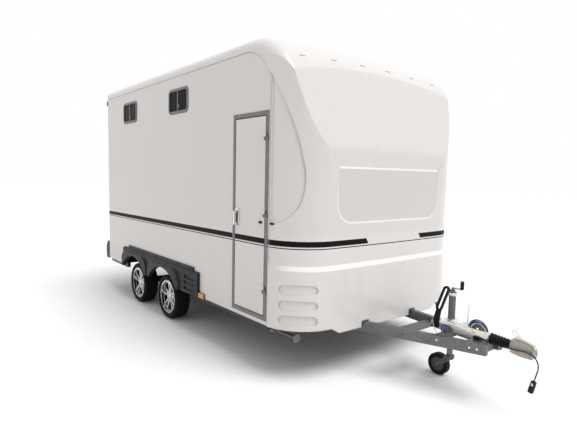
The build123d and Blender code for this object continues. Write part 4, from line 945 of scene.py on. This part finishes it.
# %% Window seals and bars
WINDOW_HALF = np.array([0.235, 0.134])
PANE_HALF = WINDOW_HALF - 0.026
BAR_BEHIND, BAR_HALF = 0.012, (0.009, 0.004, PANE_HALF[1] - 0.002)
CATCH_AHEAD, CATCH_LOW, CATCH_HALF = 0.022, 0.060, (0.008, 0.004, 0.020)
WINDOWS_BEHIND = (2.075, 3.503)
glass_low, glass_high = corners("window_glass")
window_z = (glass_low[2] + glass_high[2]) / 2
for side, sign in SIDES.items():
    seals, bars = [], []
    for distance in WINDOWS_BEHIND:
        x = behind(distance)
        for half, radius, y, thickness in ((PANE_HALF, 0.030, wall_face + 0.001, 0.0045),
                                           (WINDOW_HALF, 0.055, wall_face, 0.0030)):
            seals.append(side_ring((x, window_z) - half, (x, window_z) + half, radius, sign * y, thickness))
        bar_place = (x - BAR_BEHIND, sign * (wall_face + 0.002), window_z)
        catch_place = (x + CATCH_AHEAD, sign * side_face, window_z - CATCH_LOW)
        bars += [pillows(bar_place, BAR_HALF, 0.002), pillows(catch_place, CATCH_HALF, 0.003)]
    add_piece(f"window_seals_{side}", seals, rubber)
    add_piece(f"window_bars_{side}", bars, anodised)

# %% [markdown]
# ## Door fittings
# The handle sits in an oval rose with a dark recess and a lock under it. Two rubber buffers, one on
# the door and one on the nose, meet when the door stands open. Screws hold the frames.

# %% Handle, buffers and frame screws
HANDLE_Z, ROSE_HALF, ROSE_RADIUS = 1.340, np.array([0.027, 0.089]), 0.0268
RECESS_HALF, BUFFER_HALF = (0.017, 0.0015, 0.066), (0.020, 0.008, 0.009)
LOCK_PROFILE = [(0.0, 0.0), (0.0, 0.010), (0.004, 0.0095), (0.005, 0.006), (0.0042, 0.0)]
BUFFER_Z, BUFFER_LIFT = 1.322, 0.006
NOSE_BUFFER_BEHIND, DOOR_BUFFER_BEHIND = 0.337, 0.492
LEAF = "groom_door_leaf"
handle_low, handle_high = corners("door_handle")
handle_x = (handle_low[0] + handle_high[0]) / 2
rose = side_ring((handle_x, HANDLE_Z) - ROSE_HALF, (handle_x, HANDLE_Z) + ROSE_HALF, ROSE_RADIUS,
                 -side_face - 0.008, 0.0032, 10, 8)
recess = pillows((handle_x, -side_face - 0.0075, HANDLE_Z - 0.010), RECESS_HALF, 0.0012)
lock = turned(LOCK_PROFILE, (handle_x, -side_face - 0.009, HANDLE_Z - 0.062), (0, -1, 0), 18)
add_piece("handle_rim", [rose], handle_chrome, LEAF)
add_piece("handle_recess", [recess], black_moulding, LEAF)
add_piece("door_lock", [lock], handle_chrome, LEAF)

nose_seat = seat("nose_moulding", (behind(NOSE_BUFFER_BEHIND), -2.0, BUFFER_Z), (0, 1, 0))
door_seat = np.array((behind(DOOR_BUFFER_BEHIND), -side_face, BUFFER_Z))
for name, place, body in (("nose_buffer", nose_seat, "trailer"), ("door_buffer", door_seat, LEAF)):
    add_piece(name, [pillows(place - (0, BUFFER_LIFT, 0), BUFFER_HALF, 0.004)], rubber, body)

FRAME_INSET, FRAME_STEP = 0.012, 0.26
SMALL_STUD = [(along, radius * 0.6) for along, radius in STUD_PROFILE]
FRAMES = {"door": (-1, 0.940, 0.480, 0.395, 2.257), "ramp": (1, 1.545, 0.505, 0.480, 2.590)}
for name, (sign, rear_edge, low_z, front_edge, high_z) in FRAMES.items():
    low_x, high_x, y = behind(rear_edge), behind(front_edge), sign * side_face
    rise = np.arange(low_z + 0.10, high_z - 0.05, FRAME_STEP)
    run = np.arange(low_x + 0.10, high_x - 0.05, FRAME_STEP)
    screws = np.concatenate([places(low_x + FRAME_INSET, y, rise), places(high_x - FRAME_INSET, y, rise),
                             places(run, y, low_z + FRAME_INSET), places(run, y, high_z - FRAME_INSET)])
    heads = turned(SMALL_STUD, screws, (0, sign, 0), 8)
    add_piece(f"{name}_frame_screws", [heads], bright_nut)

# %% [markdown]
# ## Ramp fittings
# On the hidden left side the ramp is held by an over-centre catch at each upper corner and has a
# grab handle between them. Its inner face carries cleats for the hooves, which show when it is
# down. Each upper leaf has a slam catch. All stand out less than the hinges do.

# %% Catches, handles and cleats
CATCH_UNDER, CATCH_INSET = 0.075, 0.110
CLEAT_STEP, RAMP_THICK = 0.155, 0.045
CLEAT_Y, CLEAT_INSET = side_face - RAMP_THICK - 0.005, 0.06
catch_z = ramp_high[2] - CATCH_UNDER
ramp_x = (ramp_low[0] + ramp_high[0]) / 2
ramp_half = (ramp_high[0] - ramp_low[0]) / 2
catches = []
for x in (ramp_low[0] + CATCH_INSET, ramp_high[0] - CATCH_INSET):
    catches += [pillows((x, side_face + 0.003, catch_z), (0.022, 0.004, 0.055), 0.002),
                pillows((x, side_face + 0.010, catch_z + 0.008), (0.009, 0.006, 0.044), 0.003)]
add_piece("ramp_catches", catches, bright_nut, "ramp")
grip_x = np.array([-0.085, -0.085, -0.075, 0.0, 0.075, 0.085, 0.085])
grip_out = np.array([0.000, 0.012, 0.018, 0.018, 0.018, 0.012, 0.000])
grip = places(ramp_x + grip_x, side_face + grip_out, catch_z)
add_piece("ramp_grab_handle", [tube(grip, 0.006)], rubber, "ramp")
cleat_z = np.arange(ramp_low[2] + 0.17, ramp_high[2] - 0.06, CLEAT_STEP)
cleat_half = (ramp_half - CLEAT_INSET, 0.008, 0.014)
cleats = pillows(places(ramp_x, CLEAT_Y, cleat_z), cleat_half, 0.004)
add_piece("ramp_cleats", [cleats], rubber, "ramp")
for leaf, (low, high) in leaves.items():
    x = low[0] + 0.045 if leaf == "front" else high[0] - 0.045
    add_piece(f"leaf_catch_{leaf}", [
        pillows((x, side_face + 0.004, low[2] + 0.10), (0.018, 0.005, 0.050), 0.003),
        pillows((x, side_face + 0.012, low[2] + 0.115), (0.007, 0.006, 0.030), 0.003),
    ], handle_chrome, f"top_leaf_{leaf}")

# %% [markdown]
# ## Nose and roof trim
# Short grey clips stand in a row over the brow, where they hold the lining. Each is set down on the
# moulding by a ray that drops from above, so it follows the curve. The roof vent has slats.

# %% Brow clips and vent slats
CLIP_X, CLIPS_Y = 1.335, (-0.91, -0.55, -0.19, 0.17, 0.53, 0.89)
SLATS, SLAT_INSET, SLAT_HALF = 9, 0.08, (0.012, 0.18, 0.004)
for number, across in enumerate(CLIPS_Y):
    place = seat("nose_moulding", (CLIP_X, across, 4.0), (0, 0, -1))
    add_piece(f"brow_clip_{number}", [pillows(place, (0.006, 0.030, 0.0025), 0.002)], dash_paint)
vent_low, vent_high = corners("roof_vent")
slat_x = np.linspace(vent_low[0] + SLAT_INSET, vent_high[0] - SLAT_INSET, SLATS)
slats = places(slat_x, 0, vent_high[2] - SLAT_HALF[2])
add_piece("vent_slats", [pillows(slats, SLAT_HALF, 0.003)], black_moulding)

# %% [markdown]
# ## Lamps
# Each marker has a black base under its lens, tail lamps stand in a bezel, and the outline lamps on
# rubber arms have a red lens to the rear.

# %% Bases, bezels and small lenses
MARKER_X, MARKER_Z, MARKER_HALF = behind(1.512), 0.4675, (0.054, 0.005, 0.0265)
LAMP_INSET, LAMP_HALF, BEZEL_CORNER = 0.095, 0.048, 0.013
DOME_PROFILE = [(0.0, 0.0), (0.0, 0.016), (0.006, 0.014), (0.010, 0.008), (0.011, 0.0)]
arm_z = wall_high[2] - 0.050
for side, sign in SIDES.items():
    base = pillows((MARKER_X, sign * side_face, MARKER_Z), MARKER_HALF, 0.003)
    add_piece(f"marker_base_{side}", [base], rubber)
    lamp_y = sign * (wall_face - LAMP_INSET)
    low, high = (lamp_y - LAMP_HALF, lamp_low[2] - 0.001), (lamp_y + LAMP_HALF, lamp_high[2] + 0.001)
    bezel = rounded_loop(low, high, BEZEL_CORNER)
    bezel_path = places(rear_x - 0.004, bezel[:, 0], bezel[:, 1])
    add_piece(f"lamp_bezel_{side}", [tube(bezel_path, 0.005, (1, 0, 0), 8, closed=True)], black_moulding)
    dome = turned(DOME_PROFILE, (rear_x - 0.040, sign * (wall_face - 0.025), arm_z), (-1, 0, 0), 16)
    add_piece(f"outline_lens_{side}", [dome], red_lens)

# %% [markdown]
# ## Fender and bumper details
# Flat bolts hold the rail of each fender to the wall. The bumper's top is a step, so it has rubber
# treads.

# %% Fender bolts and bumper treads
RAIL_BOLTS, TREADS = 7, 24
FLAT_BOLT = [(0.0, 0.0), (0.0, 0.009), (0.003, 0.008), (0.005, 0.004), (0.0055, 0.0)]
for side, sign in SIDES.items():
    low, high = corners(f"fender_{side}")
    bolt_x = np.linspace(low[0] + 0.25, high[0] - 0.20, RAIL_BOLTS)
    bolt_places = places(bolt_x, sign * (wall_face + 0.018), high[2] - 0.018)
    bolts = turned(FLAT_BOLT, bolt_places, (0, sign, 0), 12)
    add_piece(f"fender_bolts_{side}", [bolts], black_moulding)
bumper_low, bumper_high = corners("rear_bumper")
treads = places((bumper_low[0] + 0.050 + rear_x) / 2, np.linspace(-0.92, 0.92, TREADS), bumper_high[2])
add_piece("bumper_treads", [pillows(treads, (0.028, 0.024, 0.003), 0.002)], rubber)

# %% [markdown]
# ## On the drawbar
# Hexagon bolts tie the overrun housing down, and clamp bands close the gaiter. A rusty guide disc
# stands on the far side, under the brake cables.

# %% Bolts, bands and disc
HEX_PROFILE = [(-0.001, 0.0), (-0.001, 0.0120), (0.008, 0.0120), (0.009, 0.0100), (0.009, 0.0)]
SMALL_HEX = [(along * 0.7, radius * 0.8) for along, radius in HEX_PROFILE]
WEDGE_TIP, WEDGE_SLOPE = 0.985, 0.15
SHAFT_Z, BAND_THICK, BAND_INSET = 0.500, 0.0026, 0.006
housing_bolts = [(NOSE_X + forward, sign * 0.036, 0.5155 + (WEDGE_TIP - forward) * WEDGE_SLOPE)
                 for forward in (0.745, 0.860) for sign in (-1, 1)]
seat_bolts = [(NOSE_X + forward, sign * 0.036, 0.528) for forward in (0.515, 0.545) for sign in (-1, 1)]
rail_bolts = [seat("drawbar", (NOSE_X + forward, -1.0, 0.435), (0, 1, 0))
              for forward in (0.655, 0.905, 0.960)]
add_piece("housing_bolts", [
    turned(HEX_PROFILE, housing_bolts + seat_bolts, (0, 0, 1), 6),
    turned(SMALL_HEX, rail_bolts, (0.22, -1, 0), 6),
], bright_nut, smooth=False)

gaiter_low, gaiter_high = corners("shaft_gaiter")
turn = np.linspace(0, 2 * np.pi, 36, endpoint=False)
bands = {"rear": (gaiter_low[0] + BAND_INSET, 0.0415), "front": (gaiter_high[0] - BAND_INSET, 0.0290)}
for name, (x, radius) in bands.items():
    path = places(x, radius * np.cos(turn), SHAFT_Z + radius * np.sin(turn))
    add_piece(f"gaiter_band_{name}", [tube(path, BAND_THICK, (1, 0, 0), 6, closed=True)], bright_nut)

DISC = np.array([NOSE_X + 0.845, 0.068, 0.505])
DISC_PROFILE = [(-0.006, 0.0), (-0.006, 0.058), (-0.003, 0.060), (0.003, 0.060), (0.006, 0.058),
                (0.006, 0.0)]
add_piece("guide_disc", [turned(DISC_PROFILE, DISC, (0, 1, 0), 40)], rusty)

# %% [markdown]
# ## Cables and hoses
# Blue brake cables arch over the disc, dark-blue hoses drop between the rails, and a thin grey lead
# loops over the near rail. Each runs between two fixed points.

# %% Cables and hoses
STRANDS, STRAND_RADIUS, STRAND_INNER, STRAND_STEP = 5, 0.0032, 0.066, 0.0062
HOSES, HOSE_RADIUS, HOSE_STEP = 4, 0.0055, 0.016
GREY_RADIUS = 0.0036
hose_route = [
    # ahead of the nose, y, z
    (0.600, -0.048, 0.516), (0.602, -0.070, 0.520), (0.618, -0.095, 0.494), (0.634, -0.104, 0.455),
    (0.640, -0.092, 0.425),
]
arch = np.radians(np.linspace(-12, 192, 30))
strands = []
for number in range(STRANDS):
    reach = STRAND_INNER + STRAND_STEP * number
    sway = 0.004 * (number % 2) + 0.004 * np.sin(arch * 2 + number)
    path = DISC + places(reach * np.cos(arch), sway, reach * np.sin(arch))
    strands.append(tube(path, STRAND_RADIUS, (0, 1, 0)))
add_piece("brake_cables", strands, blue_sheath)

hoses = []
for number in range(HOSES):
    path = smooth_line(np.array(hose_route) + (NOSE_X + HOSE_STEP * number, 0, 0), 8)
    hoses.append(tube(path, HOSE_RADIUS, (1, 0, 0)))
add_piece("drawbar_hoses", hoses, navy_sheath)

rail_top = seat("drawbar", (NOSE_X + 0.640, -0.185, 2.0), (0, 0, -1))[2]
grey_route = [
    # ahead of the nose, y, z
    (0.500, 0.040, 0.530), (0.488, 0.025, 0.556), (0.490, -0.010, 0.570), (0.508, -0.055, 0.548),
    (0.545, -0.105, 0.510), (0.595, -0.150, rail_top + 0.020), (0.640, -0.185, rail_top + 0.001),
]
grey_path = smooth_line(np.array(grey_route) + (NOSE_X, 0, 0))
add_piece("grey_lead", [tube(grey_path, GREY_RADIUS)], grey_sheath)

# %% [markdown]
# ## Jockey wheel
# The winding handle turns on a bright collar and ends in a black knob, and the wheel has a pressed
# hub over its rubber tyre.

# %% Knob, collar and hub
JOCKEY_X, JOCKEY_Y, CRANK_REACH = NOSE_X + 0.560, 0.140, 0.086
KNOB_UNDER, COLLAR_Z = 0.070, 0.7265
KNOB_PROFILE = [(0.0, 0.0), (0.0, 0.0145), (0.004, 0.0165), (0.020, 0.0150), (0.046, 0.0165),
                (0.060, 0.0155), (0.068, 0.0090), (0.070, 0.0)]
COLLAR_PROFILE = [(0.0, 0.0), (0.0, 0.0370), (0.003, 0.0385), (0.024, 0.0385), (0.027, 0.0370),
                  (0.027, 0.0)]
HUB_PROFILE = [(0.0, 0.0), (0.0, 0.060), (0.0015, 0.060), (0.0035, 0.052), (0.0025, 0.036),
               (0.005, 0.022), (0.005, 0.0)]
knob_place = (JOCKEY_X + CRANK_REACH, JOCKEY_Y, corners("jockey_tube")[1][2] - KNOB_UNDER)
add_piece("crank_knob", [turned(KNOB_PROFILE, knob_place, (0, 0, 1), 18)], black_moulding)
collar = turned(COLLAR_PROFILE, (JOCKEY_X, JOCKEY_Y, COLLAR_Z), (0, 0, 1), 28)
add_piece("jockey_collar", [collar], bright_nut)
low, high = corners("jockey_wheel")
centre, half_width = (low + high) / 2, (high[1] - low[1]) / 2
hubs = [turned(HUB_PROFILE, centre + (0, sign * half_width, 0), (0, sign, 0), 30) for sign in (-1, 1)]
add_piece("jockey_hub", hubs, hub_grey, "jockey_roller")

# %% [markdown]
# ## Floor, backdrop and light
# The floor is pale and keeps the shadow. The world is white where the camera or a reflection sees
# it, and dimmer to the trailer's skin, less so from above, so that the white sides keep their shape.
# One broad sun stands high ahead of the nose, and draws the creases of the moulding.

# %% Floor and light
FLOOR_HALF = 60.0
SKY_LOW, SKY_HIGH = 0.50, 0.75  # strength that the skin sees at the horizon and overhead
SUN_POWER, SUN_DEGREES = 1.9, 40
SUN_FROM = Vector((0.42, 0.16, 0.88))


def floor_finish():
    """White where it is seen, a little greyer in the light that it throws back."""
    made = Finish("pale_floor", (0.86, 0.86, 0.86), 0.9, gloss=0.0)
    camera_ray = made.node("ShaderNodeLightPath", output="Is Camera Ray")
    glossy_ray = Value(made, camera_ray.socket.node.outputs["Is Glossy Ray"])
    pale = made.mix(made.noise(0.6), (0.960, 0.960, 0.960), (0.985, 0.985, 0.985))
    made.set("Base Color", made.mix(camera_ray.larger(glossy_ray), (0.75, 0.74, 0.73), pale))
    return made.material


floor_mesh = bpy.data.meshes.new("floor")
floor_corners = [(-FLOOR_HALF, -FLOOR_HALF, 0), (FLOOR_HALF, -FLOOR_HALF, 0),
                 (FLOOR_HALF, FLOOR_HALF, 0), (-FLOOR_HALF, FLOOR_HALF, 0)]
floor_mesh.from_pydata(floor_corners, [], [(0, 1, 2, 3)])
floor_mesh.materials.append(floor_finish())
floor = bpy.data.objects.new("floor", floor_mesh)
bpy.context.scene.collection.objects.link(floor)
floor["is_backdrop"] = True

world = bpy.data.worlds.new("studio")
bpy.context.scene.world = world
world.use_nodes = True
tree = world.node_tree
background = next(n for n in tree.nodes if n.type == "BACKGROUND")
background.inputs["Color"].default_value = (1.0, 1.0, 1.0, 1.0)
paths = tree.nodes.new("ShaderNodeLightPath")
direction = tree.nodes.new("ShaderNodeTexCoord")
split = tree.nodes.new("ShaderNodeSeparateXYZ")
tree.links.new(direction.outputs["Generated"], split.inputs[0])
sky = tree.nodes.new("ShaderNodeMapRange")
sky.inputs["To Min"].default_value = SKY_LOW
sky.inputs["To Max"].default_value = SKY_HIGH
tree.links.new(split.outputs["Z"], sky.inputs["Value"])
strength = sky.outputs[0]
for ray in ("Is Camera Ray", "Is Glossy Ray", "Is Transmission Ray"):
    larger = tree.nodes.new("ShaderNodeMath")
    larger.operation = "MAXIMUM"
    tree.links.new(strength, larger.inputs[0])
    tree.links.new(paths.outputs[ray], larger.inputs[1])
    strength = larger.outputs[0]
tree.links.new(strength, background.inputs["Strength"])

sun_data = bpy.data.lights.new("sun", "SUN")
sun_data.energy = SUN_POWER
sun_data.angle = np.radians(SUN_DEGREES)
sun = bpy.data.objects.new("sun", sun_data)
sun.rotation_mode = "QUATERNION"
sun.rotation_quaternion = SUN_FROM.to_track_quat("Z", "Y")
bpy.context.scene.collection.objects.link(sun)

bpy.context.scene.view_settings.view_transform = "Standard"

# %% [markdown]
# ## Sizes
# The box of all that shows is measured.

# %% Sizes
low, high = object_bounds()
